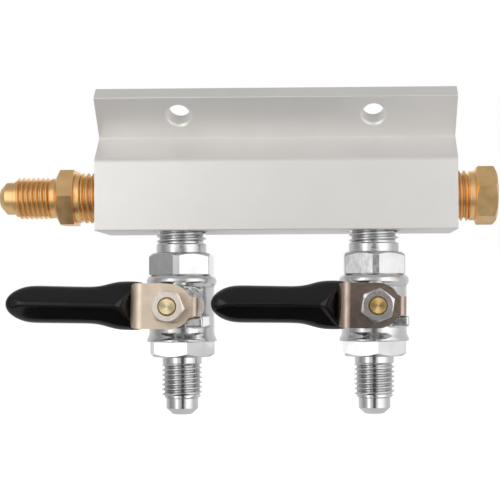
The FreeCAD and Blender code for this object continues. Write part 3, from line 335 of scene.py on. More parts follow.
# %% [markdown]
# Materials come before the pieces. Photographs of metal could be wrapped round them, but noise
# needs no unwrapping and is sharp from near and far. Every material is a Principled shader whose
# colour, roughness and bump come from noise in the object's own coordinates. This helper builds
# what they share: two colours mixed by a noise, a roughness range, and a bump made of layers.

# %% Helper: a material with layered noise


class Finish:
    """A material under construction."""

    def __init__(self, name, metallic=0.0, roughness=0.5):
        self.material = bpy.data.materials.new(name)
        self.material.use_nodes = True
        self.nodes = self.material.node_tree.nodes
        self.links = self.material.node_tree.links
        self.shader = self.nodes["Principled BSDF"]
        self.shader.inputs["Metallic"].default_value = metallic
        self.shader.inputs["Roughness"].default_value = roughness
        self.coordinates = self.nodes.new("ShaderNodeTexCoord").outputs["Object"]
        self.height = None

    def link(self, output, target):
        self.links.new(output, target)

    def noise(self, size, stretch=(1, 1, 1), detail=4.0, rough=0.5, bend=0.0):
        """Noise with blobs about size millimetres wide, longer where stretch is under 1."""
        mapping = self.nodes.new("ShaderNodeMapping")
        mapping.inputs["Scale"].default_value = stretch
        self.link(self.coordinates, mapping.inputs["Vector"])
        node = self.nodes.new("ShaderNodeTexNoise")
        node.inputs["Scale"].default_value = 1 / (size * MM)
        node.inputs["Detail"].default_value = detail
        node.inputs["Roughness"].default_value = rough
        node.inputs["Distortion"].default_value = bend
        self.link(mapping.outputs["Vector"], node.inputs["Vector"])
        return node.outputs["Fac"]

    def ramp(self, value, low, high, start=0.3, end=0.7):
        """Maps a noise to the range low..high, clamped."""
        node = self.nodes.new("ShaderNodeMapRange")
        node.inputs["From Min"].default_value = start
        node.inputs["From Max"].default_value = end
        node.inputs["To Min"].default_value = low
        node.inputs["To Max"].default_value = high
        self.link(value, node.inputs["Value"])
        return node.outputs["Result"]

    def colour(self, value, first, second, start=0.3, end=0.7):
        """Base colour between two colours, by a noise."""
        node = self.nodes.new("ShaderNodeMix")
        node.data_type = "RGBA"
        node.inputs["A"].default_value = (*first, 1)
        node.inputs["B"].default_value = (*second, 1)
        self.link(self.ramp(value, 0, 1, start, end), node.inputs["Factor"])
        self.link(node.outputs["Result"], self.shader.inputs["Base Color"])
        return node

    def roughness(self, value, low, high):
        """Roughness between two levels, by a noise."""
        self.link(self.ramp(value, low, high), self.shader.inputs["Roughness"])

    def bump(self, value, depth):
        """Adds a layer of bump, depth in millimetres."""
        node = self.nodes.new("ShaderNodeBump")
        node.inputs["Strength"].default_value = 1.0
        node.inputs["Distance"].default_value = depth * MM
        self.link(value, node.inputs["Height"])
        if self.height is not None:
            self.link(self.height, node.inputs["Normal"])
        self.height = node.outputs["Normal"]
        self.link(self.height, self.shader.inputs["Normal"])


def paint_shade_in_hollows(finish, base, colour, strength):
    """Paints shade into hollows such as thread roots, by mixing a dark colour into the base there.

    Pointiness is near 0.5 on a flat face and lower in a hollow, so the ramp ends under 0.5.
    """
    geometry = finish.nodes.new("ShaderNodeNewGeometry")
    # painted shade: the lower the pointiness, the more of the dark colour is mixed in
    hollow = finish.ramp(geometry.outputs["Pointiness"], strength, 0.0, 0.445, 0.496)
    mix = finish.nodes.new("ShaderNodeMix")
    mix.data_type = "RGBA"
    mix.inputs["B"].default_value = (*colour, 1)
    finish.link(hollow, mix.inputs["Factor"])
    finish.link(base.outputs["Result"], mix.inputs["A"])
    finish.link(mix.outputs["Result"], finish.shader.inputs["Base Color"])


print("finish helper ready")

# %% [markdown]
# The finishes of the parts that show come first. The block is sawn extrusion, blasted to a fine
# matte and clear anodised. A full metal would mirror the dark half of the studio and look grey,
# so it is just over half metallic, and the rest scatters light as the oxide layer does. Faint
# draw lines run along it in X.

# %% Finish: anodised aluminium
aluminium = Finish("anodised aluminium", metallic=0.55)
cloud = aluminium.noise(14.0, detail=3)
aluminium.colour(cloud, (0.85, 0.83, 0.805), (0.88, 0.86, 0.835))
lines = aluminium.noise(0.5, stretch=(0.012, 1, 1), detail=3, rough=0.7)
grit = aluminium.noise(0.16, detail=2)
aluminium.roughness(grit, 0.40, 0.52)
aluminium.bump(lines, 0.0035)
aluminium.bump(grit, 0.006)
print("made", aluminium.material.name)

# %% [markdown]
# Brass straight off the lathe is bright and yellow, with hair-fine rings across its axis. Rings
# across X are a noise stretched in Y and Z. Darker patches are where it has begun to tarnish. The
# thread roots get painted shade, a dark brown mixed in by hollows. This could be a second material,
# but a mix by hollows follows every turn of the thread by itself.

# %% Finish: turned brass


def brass(name, ring_stretch):
    made = Finish(name, metallic=1.0)
    patch = made.noise(5.0, detail=5, bend=0.6)
    base = made.colour(patch, (0.90, 0.575, 0.26), (1.0, 0.665, 0.32), 0.35, 0.65)
    # painted shade: thread roots and other hollows are darkened with brown
    paint_shade_in_hollows(made, base, (0.17, 0.105, 0.045), 0.85)
    scuffs = made.noise(2.2, stretch=(1, 0.4, 1), detail=2)
    made.roughness(scuffs, 0.28, 0.38)
    made.bump(made.noise(0.25, stretch=ring_stretch, detail=1), 0.003)
    made.bump(scuffs, 0.003)
    return made.material


brass_along_x = brass("turned brass", (1, 0.02, 0.02))
brass_along_z = brass("turned brass upright", (0.02, 0.02, 1))
print("made", brass_along_x.name, "and", brass_along_z.name)

# %% [markdown]
# The valve bodies are hot forgings with bright nickel over them. A smooth mirror would look like
# a computer's sphere. The plating follows the forged skin, so it is bright but never flat:
# shallow waves bend every reflection, orange peel breaks it up, and haze dulls it in patches.

# %% Finish: plated forging


def plating(name, wave, roughness, peel, tint=0.76):
    """Bright plating with this depth of waves and of orange peel, in millimetres."""
    made = Finish(name, metallic=1.0)
    tone = made.noise(6.0, detail=4)
    base = made.colour(tone, (tint - 0.06, tint - 0.06, tint - 0.055), (tint + 0.06,) * 3)
    # painted shade: hollows such as thread roots are darkened to near black
    paint_shade_in_hollows(made, base, (0.05, 0.05, 0.053), 0.95)
    made.bump(made.noise(3.2, detail=1.5, bend=0.4), wave)
    made.bump(made.noise(0.6, detail=3), peel)
    haze = made.noise(1.4, detail=6, rough=0.7, bend=0.8)
    made.roughness(haze, roughness * 0.7, roughness * 2.0)
    return made.material


plated = plating("plated forging", 0.08, 0.13, 0.012)
plated_turned = plating("plated turning", 0.02, 0.10, 0.004, 0.78)
print("made", plated.name, "and", plated_turned.name)

# %% [markdown]
# The levers are stamped steel with satin nickel, which looks warmer than the plating beside it, and
# the nuts are zinc-plated. Each side gets its own colours as painted light and shade: the left
# valve's lever and nut are painted paler and the right valve's darker. One helper makes all four:
# patches of colour, a fine grain in the roughness and the bump, and a slow wave that keeps the flat
# faces from looking cut from card.

# %% Finish: lever steel and nut steel


def satin(name, dark, light, roughness, grain_depth):
    made = Finish(name, metallic=1.0)
    made.colour(made.noise(3.0, detail=5, bend=0.5), dark, light)
    grain = made.noise(0.22, detail=4, rough=0.7)
    made.roughness(grain, roughness * 0.8, roughness * 1.35)
    made.bump(grain, grain_depth)
    made.bump(made.noise(1.8, detail=2), 0.02)
    return made.material


# painted light and shade: the same lever steel is painted paler on the left and darker on the right
lever_steel_lit_and_shaded = {
    "left": satin("satin nickel", (0.66, 0.555, 0.435), (0.78, 0.655, 0.52), 0.40, 0.008),
    "right": satin("nickel painted darker", (0.43, 0.33, 0.275), (0.57, 0.45, 0.38), 0.20, 0.010),
}
# painted light and shade: the same nut steel is painted paler on the left and darker on the right
nut_steel_lit_and_shaded = {
    "left": satin("zinc painted paler", (0.80, 0.71, 0.62), (0.90, 0.81, 0.72), 0.34, 0.004),
    "right": satin("zinc painted darker", (0.66, 0.63, 0.61), (0.82, 0.79, 0.77), 0.24, 0.004),
}
print("made", [m.name for m in (*lever_steel_lit_and_shaded.values(), *nut_steel_lit_and_shaded.values())])

# %% [markdown]
# The grips are dipped in black vinyl. Its colour is nearly black, so what shows is its gloss: the
# shape is drawn by reflections alone. Slow waves come from dripping, fine ones from dust in the
# dip, and a little sheen is the bloom of soft vinyl.

# %% Finish: dipped vinyl
vinyl = Finish("dipped vinyl")
vinyl.shader.inputs["IOR"].default_value = 1.45
vinyl.shader.inputs["Sheen Weight"].default_value = 0.08
vinyl.shader.inputs["Sheen Roughness"].default_value = 0.4
vinyl.colour(vinyl.noise(9.0, detail=3), (0.0015, 0.0015, 0.0019), (0.003, 0.003, 0.0037))
vinyl.roughness(vinyl.noise(2.5, detail=5), 0.07, 0.16)
vinyl.bump(vinyl.noise(6.0, detail=1), 0.12)
vinyl.bump(vinyl.noise(0.5, detail=3), 0.004)
print("made", vinyl.material.name)

# %% [markdown]
# The block is one extrusion, and so is a folded strip seen from the side. Their round edges
# could come from bevels, but a bevel fails where a bend is as wide as its faces. So the corners
# of the outline are rounded first, and every long edge is one smooth arc. Each radius has to
# leave room for its neighbour's.

# %% Helper: round the corners of an outline


def round_corners(points, radii, segments=6):
    """Replaces each corner that has a radius by points on its arc."""
    result = []
    for i, point in enumerate(points):
        radius = radii.get(i, 0)
        corner = Vector(point)
        if not radius:
            result.append(tuple(corner))
            continue
        before = (Vector(points[i - 1]) - corner).normalized()
        after = (Vector(points[(i + 1) % len(points)]) - corner).normalized()
        half = before.angle(after) / 2
        reach = radius / math.tan(half)
        centre = corner + (before + after).normalized() * radius / math.sin(half)
        first = corner + before * reach - centre
        last = corner + after * reach - centre
        sweep = first.angle_signed(last)
        for step in range(segments + 1):
            angle = -sweep * step / segments  # Blender measures this angle clockwise
            turned = Vector((
                first.x * math.cos(angle) - first.y * math.sin(angle),
                first.x * math.sin(angle) + first.y * math.cos(angle),
            ))
            result.append(tuple(centre + turned))
    return result


print("outline helper ready")

# %% [markdown]
# The block's section is drawn as its die would be cut: x is the depth behind the front face and
# y the height over the underside. The flange leans forward over a ledge, and its back runs on
# as the slanted face that goes against the wall. Points are worked out from the lean, so that
# faces that should be parallel are.

# %% Block outline
LEAN = math.radians(41)
FLANGE = 4.6  # the flange's thickness
HOLE_UP = 6.9  # the ledge to the screw holes, along the flange
DEPTH = 24.2
FACE = 18.3  # height of the front face
LEDGE = 7.5  # depth of the ledge
ledge = Vector((LEDGE, FACE + LEDGE * math.tan(LEAN)))
up_flange = Vector((-math.sin(LEAN), math.cos(LEAN)))
through = Vector((math.cos(LEAN), math.sin(LEAN)))
tip_front = ledge + up_flange * 12.4
tip_back = tip_front + through * FLANGE
back_top = tip_back.y - (DEPTH - tip_back.x) / math.tan(LEAN)
mount = ledge + up_flange * HOLE_UP + through * FLANGE
outline = [(0, 0), (DEPTH, 0), (DEPTH, back_top), tuple(tip_back), tuple(tip_front),
           tuple(ledge), (0, FACE)]
outline = round_corners(outline, {0: 0.3, 1: 0.3, 2: 0.3, 3: 0.22, 4: 0.22, 5: 0.15, 6: 2.5})
print("block outline:", len(outline), "points")

# %% [markdown]
# The outline is pulled out to the block's length, then drilled: two countersunk screw holes
# through the flange, square to it, and four ports. Each drill is a lathe tool with the hole's
# shape, because one boolean then cuts bore and countersink together. The world's centre is on
# the wall side, halfway between the screw holes, as in the CAD model.

# %% Block extrusion, screw holes and ports


def drill_port(x, height, angle=0):
    """A port in the block: a countersunk hole along Z, tilted by angle round Y."""
    tool = lathe("port", [(0, -1), (7.6, -1), (6.75, 0.25), (6.7, 0.3), (6.7, 8), (0, 8)], 64)
    turn_and_move(tool, turn=(0, angle, 0), move=(x, AXIS_Y, height))
    boolean(block, tool, "DIFFERENCE")


block = prism("block", outline, -HALF_LENGTH, HALF_LENGTH)
turn_and_move(block, turn=(0, 90, 90), move=(0, -mount.x, -mount.y))
for x in (-HALF_PITCH, HALF_PITCH):
    drill = lathe("drill", [(0, -4), (2.9, -4), (2.9, FLANGE - 0.55), (5.9, FLANGE + 2.45),
                            (5.9, FLANGE + 6), (0, FLANGE + 6)], 64)
    turn_and_move(drill, turn=(131, 0, 0), move=(x, 0, 0))
    boolean(block, drill, "DIFFERENCE")
    drill_port(x, UNDERSIDE)
for x, angle in ((-HALF_LENGTH, 90), (HALF_LENGTH, -90)):
    drill_port(x, UNDERSIDE + GALLERY_HEIGHT, angle)
bevel(block, 0.12, 2, 40)
print("block:", len(block.data.polygons), "faces")

# %% [markdown]
# The normals are weighted by face size, so that a large flat face stays flat next to its small
# bevels.

# %% Helper: settle a piece


def finish_with(piece, material):
    """Gives a piece this one material."""
    piece.data.materials.clear()
    piece.data.materials.append(material)


def settle(piece, body, nodes, material, turn=(0, 0, 0), place=(0, 0, 0), angle=26):
    """Puts a finished piece in its place in metres, gives it its material and smooth normals, hangs
    it from its body and hides the CAD nodes that it stands for.
    """
    turn_and_move(piece, turn=turn, move=Vector(place) * MM, scale=MM)
    finish_with(piece, material)
    pick(piece)
    bpy.ops.object.shade_smooth_by_angle(angle=math.radians(angle))
    modify(piece, "WEIGHTED_NORMAL", keep_sharp=True, weight=50)
    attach(piece, body)
    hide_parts(*nodes)
    return piece


settle(block, "manifold", ["manifold_body"], aluminium.material, angle=25)
print("block settled, axes at y", round(AXIS_Y, 2))

# %% [markdown]
# Inlet and outlets end in the same male flare: a neck, a flare thread, and a nose with the 45
# degree cone that a flared tube seals on. One helper makes all three. Its parts overlap a little
# instead of being fused, because booleans on a helix are slow and the joints don't show.

# %% Helpers: flare end and rim
PIPE = {"crest": 13.3, "depth": 0.85, "pitch": 1.411}
FLARE = {"crest": 10.9, "depth": 0.78, "pitch": 1.27}


def bored(piece, radius, low, high):
    """Bores a piece along Z."""
    return boolean(piece, lathe("bore", [(0, low), (radius, low), (radius, high), (0, high)], 48),
                   "DIFFERENCE")


def flare_end(start, thread_length, nose_length, bore=2.2, neck_length=1.5):
    """Neck, flare thread and nose, upwards from start."""
    neck, nose = 5.22, 4.25  # radii
    low = start + neck_length
    high = low + thread_length
    top = high + nose_length
    root = FLARE["crest"] / 2 - FLARE["depth"]
    neck_piece = lathe("neck", [(0, start - 1), (neck, start - 1), (neck, low - 0.25),
                                (neck - 0.25, low + 0.05), (0, low + 0.05)])
    screw = thread("flare_thread", start=low - 0.3, end=high + 0.1, low_trim=0.3,
                   high_trim=0.9, **FLARE)
    tip = lathe("nose", [
        (0, high - 0.6), (root, high - 0.6), (root, high), (nose - 0.1, high + 0.15),
        (nose, high + 0.3), (nose, top - 0.15), (nose - 0.12, top + 0.03), (2.6, top + 1.42),
        (2.45, top + 1.5), (bore + 0.15, top + 1.5), (bore, top + 1.35), (bore, high - 0.6),
    ])
    for part in (neck_piece, screw):
        bored(part, bore, low - 0.9, high + 3)
    return [neck_piece, screw, tip]


def rim(radius, low, high, chamfer=0.18):
    """A plain disc with broken edges."""
    return lathe("rim", [(0, low), (radius - chamfer, low), (radius, low + chamfer),
                         (radius, high - chamfer), (radius - chamfer, high), (0, high)], 96)


print("flare helpers ready")

# %% [markdown]
# The inlet fitting is one brass bar: pipe thread, collar, hexagon and flare end. It is built
# upright, where lathe and thread are easiest, and laid along -X.

# %% Inlet fitting
inlet_hex = bevel(hexagon("hex", 14.29, 6.1, 11.2, chamfer_high=5.6), 0.14, 2, 45)
inlet = join("inlet", [
    thread("pipe_thread", start=-5.6, end=4.7, high_trim=0.5, **PIPE),
    rim(6.45, 4.6, 6.15),
    inlet_hex,
    *flare_end(11.2, 9.3, 2.6),
])
settle(inlet, "manifold", ["inlet_fitting"], brass_along_x, turn=(0, -90, 0),
       place=(-HALF_LENGTH, AXIS_Y, UNDERSIDE + GALLERY_HEIGHT))
print("inlet:", len(inlet.data.polygons), "faces")

# %% [markdown]
# The end plug closes the other end of the gallery. It has the same pipe thread and a hexagon
# that is chamfered at both faces. The turn of 47 degrees is read off the photo: a plug stops
# where its thread is tight, not where its facets look neat.

# %% End plug
plug_hex = bevel(hexagon("hex", 13.7, 4.8, 10.6, 6.5, 6.45, turn=47), 0.16, 3, 45)
plug = join("plug", [
    thread("pipe_thread", start=-5.6, end=3.5, high_trim=0.5, **PIPE),
    rim(6.5, 3.4, 4.85),
    plug_hex,
])
settle(plug, "manifold", ["end_plug"], brass_along_x, turn=(0, 90, 0),
       place=(HALF_LENGTH, AXIS_Y, UNDERSIDE + GALLERY_HEIGHT))
print("plug:", len(plug.data.polygons), "faces")

# %% [markdown]
# The valve body is a forging, and its neck, ribs and stops flow into the barrel with soft roots.
# Bevels can't round the corner where two tubes meet. So the plain shapes are put together first,
# a voxel remesh makes one skin of them, and smoothing that skin rounds every inside corner, as a
# forging die does. Heights count down from the block's underside.

# %% Forging of a valve body
HEX = 15.875
RIB = 9.25  # radius of the ribs at the barrel's ends
BEAD = 1.75  # radius of the upper rib's round edge
BARREL = 8.6
STEM_DROP = 19.6  # the underside to the stem's axis


def soft_box(low, high, width=0.5):
    """A box between two corners, with round edges."""
    clear_selection()
    low, high = Vector(low), Vector(high)
    bpy.ops.mesh.primitive_cube_add(size=1, location=(low + high) / 2)
    piece = bpy.context.object
    piece.scale = high - low
    bpy.ops.object.transform_apply(location=True, rotation=True, scale=True)
    return bevel(piece, width, 3)


def forging():
    rib = []
    for degrees in range(90, -60, -10):
        a = math.radians(degrees)
        rib.append((RIB - BEAD * (1 - math.cos(a)), -11.4 - BEAD * (1 - math.sin(a))))
    barrel = lathe("barrel", [(0, -10.6), (7.5, -10.6)] + rib + [
        (BARREL, -15.0), (BARREL, -26.7), (8.75, -27.3), (9.05, -27.9), (RIB, -28.4),
        (RIB, -29.0), (0, -29.0)], 96)
    neck = lathe("neck", [(0, 0), (6.3, 0), (6.3, 7.6), (5.4, 8.6), (5.05, 9.6), (5.0, 10.5),
                          (5.0, 23.7), (4.7, 24.0), (0, 24.0)])
    turn_and_move(neck, turn=(90, 0, 0), move=(0, 0, -STEM_DROP))
    closed_lug = soft_box((3.4, -23.4, -STEM_DROP - 5.3), (7.9, -2, -STEM_DROP - 2.55))
    open_stop = soft_box((-4.0, -25.3, -STEM_DROP - 2.5), (-2.9, -23.0, -STEM_DROP - 1.0), 0.2)
    whole = join("forging", [barrel, neck, closed_lug, open_stop])
    modify(whole, "REMESH", mode="VOXEL", voxel_size=0.21, use_smooth_shade=True)
    modify(whole, "SMOOTH", factor=0.5, iterations=5)
    return whole


def cut(piece, point, normal):
    """Slices off what lies beyond the plane and closes the cut."""
    edit(piece)
    bpy.ops.mesh.bisect(plane_co=point, plane_no=normal, use_fill=True, clear_outer=True)
    leave()


print("forging helper ready")

# %% [markdown]
# The upper end of the body is machined: a hexagon with its front and back corners taken off, and
# a tapered pipe thread. They stay crisp, so they are joined to the forging after its smoothing.
# Each valve stops turning where its thread is tight, so the hexagons sit at different angles.

# %% Valve bodies
CORNER_CUT = 8.67


def valve(side, hex_turn):
    top = hexagon("hex", HEX, -11.5, -5.7, chamfer_high=7.55)
    for normal in ((0, -1, 0), (0, 1, 0)):
        cut(top, Vector(normal) * CORNER_CUT, normal)
    turn_and_move(tidy_mesh(top), turn=(0, 0, hex_turn))
    bevel(top, 0.28, 3, 45)
    screw = thread("pipe_thread", start=-3.3, end=5.6, low_trim=0.5, taper=1 / 32, **PIPE)
    whole = join(side + "_valve", [forging(), top, screw, rim(6.63, -5.8, -3.2, 0.3)])
    return settle(whole, "manifold", [side + "_valve_body"], plated,
                  place=PORT[side])


valves = {"left": valve("left", -2.7), "right": valve("right", 1.9)}
print("valve body:", len(valves["left"].data.polygons), "faces")

# %% [markdown]
# The outlet adapter screws into the valve's foot. Its flare end is like the inlet's, so the same
# helper makes it, and the piece is turned upside down at the end.

# %% Outlet adapters
for side, angle in (("left", -14.7), ("right", -4.6)):
    foot = bevel(hexagon("hex", HEX, 29.0, 33.0, chamfer_high=7.45), 0.2, 3, 45)
    parts = [foot, *flare_end(33.0, 8.8, 3.0, bore=2.0, neck_length=1.85)]
    adapter = join(side + "_adapter", parts)
    turn_and_move(adapter, turn=(180, 0, angle))
    settle(adapter, "manifold", [side + "_outlet_adapter"], plated_turned,
           place=PORT[side])
print("adapter:", len(adapter.data.polygons), "faces")

# %% [markdown]
# The lever is a folded strip: an arm inside the grip, a fold, the hub in front of the valve's
# neck, and a tab bent back that meets the stop lug. A flat strip could be bent with a modifier,
# but the bends would thin it. So its side view, x and the distance in front of the valve's axis,
# is drawn as a closed outline with round bends and pulled out to its width. A second outline,
# its plan, then trims it, as a blanking die would.

# %% Lever: side view and plan
ARM, HUB_BACK, STRIP = 18.9, 25.7, 1.6  # backs of arm and hub, thickness
HUB_FACE = 27.3
LIFT = {"left": 1.2, "right": 0.9}  # degrees past horizontal at rest, as in the photo
strip_side = [(-35, ARM), (-9.1, ARM), (-7.7, HUB_BACK), (5.3, HUB_BACK), (5.8, 21.1),
              (7.4, 21.1), (6.9, HUB_FACE), (-9.0, HUB_FACE), (-10.4, ARM + STRIP),
              (-35, ARM + STRIP)]
strip_side = round_corners(strip_side, {1: 1.9, 2: 1.6, 3: 0.35, 6: 1.5, 7: 3.2, 8: 0.3}, 10)
HUB = 5.55  # half the hub's width
hub_arc = [(HUB * math.sin(math.radians(a)), HUB * math.cos(math.radians(a)))
           for a in range(0, 62, 6)]
shoulder = [(-10.3, 3.5), (-10.1, 4.0), (-9.8, 4.6), (-9.4, 5.1), (-8.9, 5.4), (-8.3, HUB)]
half_plan = [(-36, 3.5)] + shoulder + hub_arc + [(5.3, 2.55), (5.6, 2.3), (9, 2.3)]
strip_plan = half_plan + [(x, -z) for x, z in reversed(half_plan)]
print("lever outlines:", len(strip_side), "and", len(strip_plan), "points")

# %% [markdown]
# The strip is trimmed by its plan, its edges are broken as tumbling does, and the stem's hole is
# drilled. A small heel stands behind the hub: it meets the stop on the neck when the valve is
# open. Both valves get the same lever.

# %% Levers


def lever(side):
    strip = prism("strip", [(x, -u) for x, u in strip_side], -HUB, HUB)
    plan = prism("plan", strip_plan, -32, -15)
    turn_and_move(plan, turn=(-90, 0, 0))
    boolean(strip, plan, "INTERSECT")
    bevel(strip, 0.22, 3, 35)
    hole = lathe("hole", [(0, -40), (2.05, -40), (2.05, 40), (0, 40)], 48)
    turn_and_move(hole, turn=(90, 0, 0))
    boolean(strip, hole, "DIFFERENCE")
    heel = soft_box((-0.75, -25.9, 2.9), (0.75, -24.4, 4.0), 0.12)
    boolean(strip, heel, "UNION")
    strip.name = side + "_lever_strip"
    return settle(strip, side + "_lever_group", [side + "_lever"],
                  lever_steel_lit_and_shaded[side], turn=(0, LIFT[side], 0), place=STEM[side], angle=30)


levers = {side: lever(side) for side in SIDES}
print("lever:", len(levers["left"].data.polygons), "faces")

# %% [markdown]
# The grip is vinyl that was dipped over the lever's arm. It could be sculpted, but its outline in
# the photo is clear, so it starts as that outline. The half plan runs from the mouth, over the
# wide shoulder and the waist, to a pointed tip, and is then mirrored. The smoothing that comes
# later rounds the tip, so the plan is drawn a little longer than the grip.

# %% Grip: plan of the skin
BACK, RIDGE, EDGE = 17.7, 26.2, 22.4  # distances in front of the valve's axis
TIP_START, TIP_LENGTH, TIP_HALF = 34.2, 7.0, 4.7
grip_half = [(-6.9, 6.05), (-9.5, 6.2), (-13.0, 6.12), (-14.6, 5.85), (-16.6, 5.2), (-18.4, 4.75),
             (-20.5, 4.62), (-27, 4.65), (-TIP_START, TIP_HALF)]
for degrees in range(8, 90, 8):
    t = math.radians(degrees)
    grip_half.append((-TIP_START - TIP_LENGTH * math.sin(t), TIP_HALF * math.cos(t) ** 1.1))
grip_plan = grip_half + [(x, -z) for x, z in reversed(grip_half)]
print("grip plan:", len(grip_plan), "points")

# %% [markdown]
# The plan is pulled out to a blank. Two slanted cuts leave a ridge along it, a third lowers the
# tip, and a fourth slopes from the ridge down to the mouth. A voxel remesh and much smoothing
# then turn the hard cuts into the rounded skin that a dip leaves. A hollow makes room for the
# hub, and an oval tool opens the mouth round the fold.

# %% Grips


def grip(side):
    blank = prism("blank", grip_plan, BACK, RIDGE)
    turn_and_move(blank, turn=(90, 0, 0))
    fall = (RIDGE - EDGE) / 4.6
    for up in (1, -1):
        cut(blank, (0, -RIDGE, 0), (0, -1, up * fall))
    cut(blank, (-38.3, -RIDGE + 0.6, 0), (-0.55, -1, 0))
    cut(blank, (-13.3, -RIDGE, 0), (1.34, -1, 0))
    tidy_mesh(blank)
    modify(blank, "REMESH", mode="VOXEL", voxel_size=0.3, use_smooth_shade=True)
    modify(blank, "SMOOTH", factor=0.5, iterations=130)
    modify(blank, "SUBSURF", levels=1, render_levels=1)
    hollow = soft_box((-8.0, -24, -5.45), (-3, -10, 5.45), 0.3)
    boolean(blank, hollow, "DIFFERENCE")
    lip = lathe("lip", [(0, 0), (3.6, 0), (3.7, 0.3), (3.8, 20), (0, 20)], 64)
    lip.scale = (0.42, 1, 1)
    turn_and_move(lip, turn=(90, 0, 0), move=(-9.3, -20.75, 0))
    boolean(blank, lip, "DIFFERENCE")
    blank.name = side + "_grip_skin"
    return settle(blank, side + "_lever_group", [side + "_grip"], vinyl.material,
                  turn=(0, LIFT[side], 0), place=STEM[side], angle=50)


grips = {side: grip(side) for side in SIDES}
print("grip:", len(grips["left"].data.polygons), "faces")

# %% [markdown]
# The lever nuts are hexagons with their corners and the thread's mouth chamfered. A nut from a
# parts library would be 8 mm across flats, but these measure 7.5 mm in the photo. The angles are
# the photo's too. The stem's end, which shows in them, is the CAD node itself.

# %% Lever nuts
for side, angle in (("left", 22.0), ("right", -8.5)):
    nut = hexagon("nut", 7.5, HUB_FACE + 0.02, 30.5, chamfer_high=3.55, turn=angle)
    bore = lathe("bore", [(0, 20), (2.02, 20), (2.02, 30.2), (2.6, 30.8), (2.6, 33), (0, 33)], 48)
    boolean(nut, bore, "DIFFERENCE")
    bevel(nut, 0.09, 2, 50)
    nut.name = side + "_nut"
    turn_and_move(nut, turn=(90, 0, 0))
    settle(nut, side + "_lever_group", [side + "_lever_nut"], nut_steel_lit_and_shaded[side],
           place=STEM[side])
print("nut:", len(nut.data.polygons), "faces")

# %% [markdown]
# The stem's end was faced on a lathe, and its rings are finer than a pixel. Light spreads across
# them and not along them, as two bright fans. A bump that fine would only flicker, so an
# anisotropic shader with a tangent that runs round the stem's axis does the same.

# %% Finish: stem ends


def stem_finish(side, dark, light):
    made = Finish(side + " stem brass", metallic=1.0)
    made.colour(made.noise(1.5, detail=4), dark, light)
    made.shader.inputs["Anisotropic"].default_value = 0.95
    around_axis = made.nodes.new("ShaderNodeTangent")
    around_axis.direction_type = "RADIAL"
    around_axis.axis = "Y"
    made.link(around_axis.outputs["Tangent"], made.shader.inputs["Tangent"])
    made.roughness(made.noise(0.5), 0.44, 0.54)
    made.bump(made.noise(0.3, detail=2), 0.001)
    return made.material


# painted light and shade: the same stem brass is painted brighter on the left and darker on the
# right
STEM_COLOURS_LIT_AND_SHADED = {
    "left": ((0.97, 0.77, 0.45), (1.0, 0.87, 0.57)),
    "right": ((0.74, 0.49, 0.19), (0.84, 0.59, 0.27)),
}
for side in SIDES:
    finish_with(frame["nodes"][side + "_stem"], stem_finish(side, *STEM_COLOURS_LIT_AND_SHADED[side]))
print("stem ends made")

# %% [markdown]
# The inner parts never show, but they travel with the model and may be looked at in a cutaway.
# Each keeps its CAD shape, which has all its detail, and gets a finish of its own: PTFE, nitrile
# rubber, polished ball, brass, spring wire.

# %% Finishes of the inner parts
ptfe = Finish("ptfe", roughness=0.45)
ptfe.colour(ptfe.noise(2.0), (0.80, 0.80, 0.77), (0.88, 0.88, 0.86))
ptfe.bump(ptfe.noise(0.3, detail=3), 0.01)
nitrile = Finish("nitrile rubber", roughness=0.55)
nitrile.colour(nitrile.noise(1.0), (0.010, 0.010, 0.011), (0.022, 0.022, 0.024))
nitrile.bump(nitrile.noise(0.15, detail=3), 0.01)
polished = plating("polished ball", 0.004, 0.05, 0.001)
wire = satin("spring wire", (0.50, 0.50, 0.51), (0.64, 0.64, 0.65), 0.24, 0.006)
inner = {
    "body_gasket": ptfe.material, "upper_seat": ptfe.material, "lower_seat": ptfe.material,
    "stem_washer": ptfe.material, "stem_o_ring": nitrile.material,
    "check_o_ring": nitrile.material, "ball": polished, "check_seat": brass_along_z,
    "check_poppet": brass_along_z, "check_spring": wire,
}
for side in SIDES:
    for part, material in inner.items():
        finish_with(frame["nodes"]["%s_%s" % (side, part)], material)
print("finished", 2 * len(inner), "inner nodes")

# %% [markdown]
# The studio starts with a white world. A plane behind the object could make the white ground, but
# it would catch shadows and show in side views. The Light Path node makes the world white to the
# camera, in reflections and through glass, and a third as bright as a light, so that the lamps
# shape the object.

# %% World
world = bpy.data.worlds.new("studio")
bpy.context.scene.world = world
world.use_nodes = True
tree = world.node_tree
background = tree.nodes["Background"]
rays = tree.nodes.new("ShaderNodeLightPath")
shows = rays.outputs["Is Camera Ray"]
for kind in ("Is Glossy Ray", "Is Transmission Ray"):
    either = tree.nodes.new("ShaderNodeMath")
    either.operation = "MAXIMUM"
    tree.links.new(shows, either.inputs[0])
    tree.links.new(rays.outputs[kind], either.inputs[1])
    shows = either.outputs[0]
level = tree.nodes.new("ShaderNodeMapRange")
level.inputs["To Min"].default_value = 0.32
level.inputs["To Max"].default_value = 1.0
tree.links.new(shows, level.inputs["Value"])
tree.links.new(level.outputs["Result"], background.inputs["Strength"])
background.inputs["Color"].default_value = (1, 1, 1, 1)
print("world ready")

# %% [markdown]
# The floor is pale and plain, well under the object, and keeps its shadow. It glows for the
# camera only, so that it is as white as the world behind it without lighting the object more.

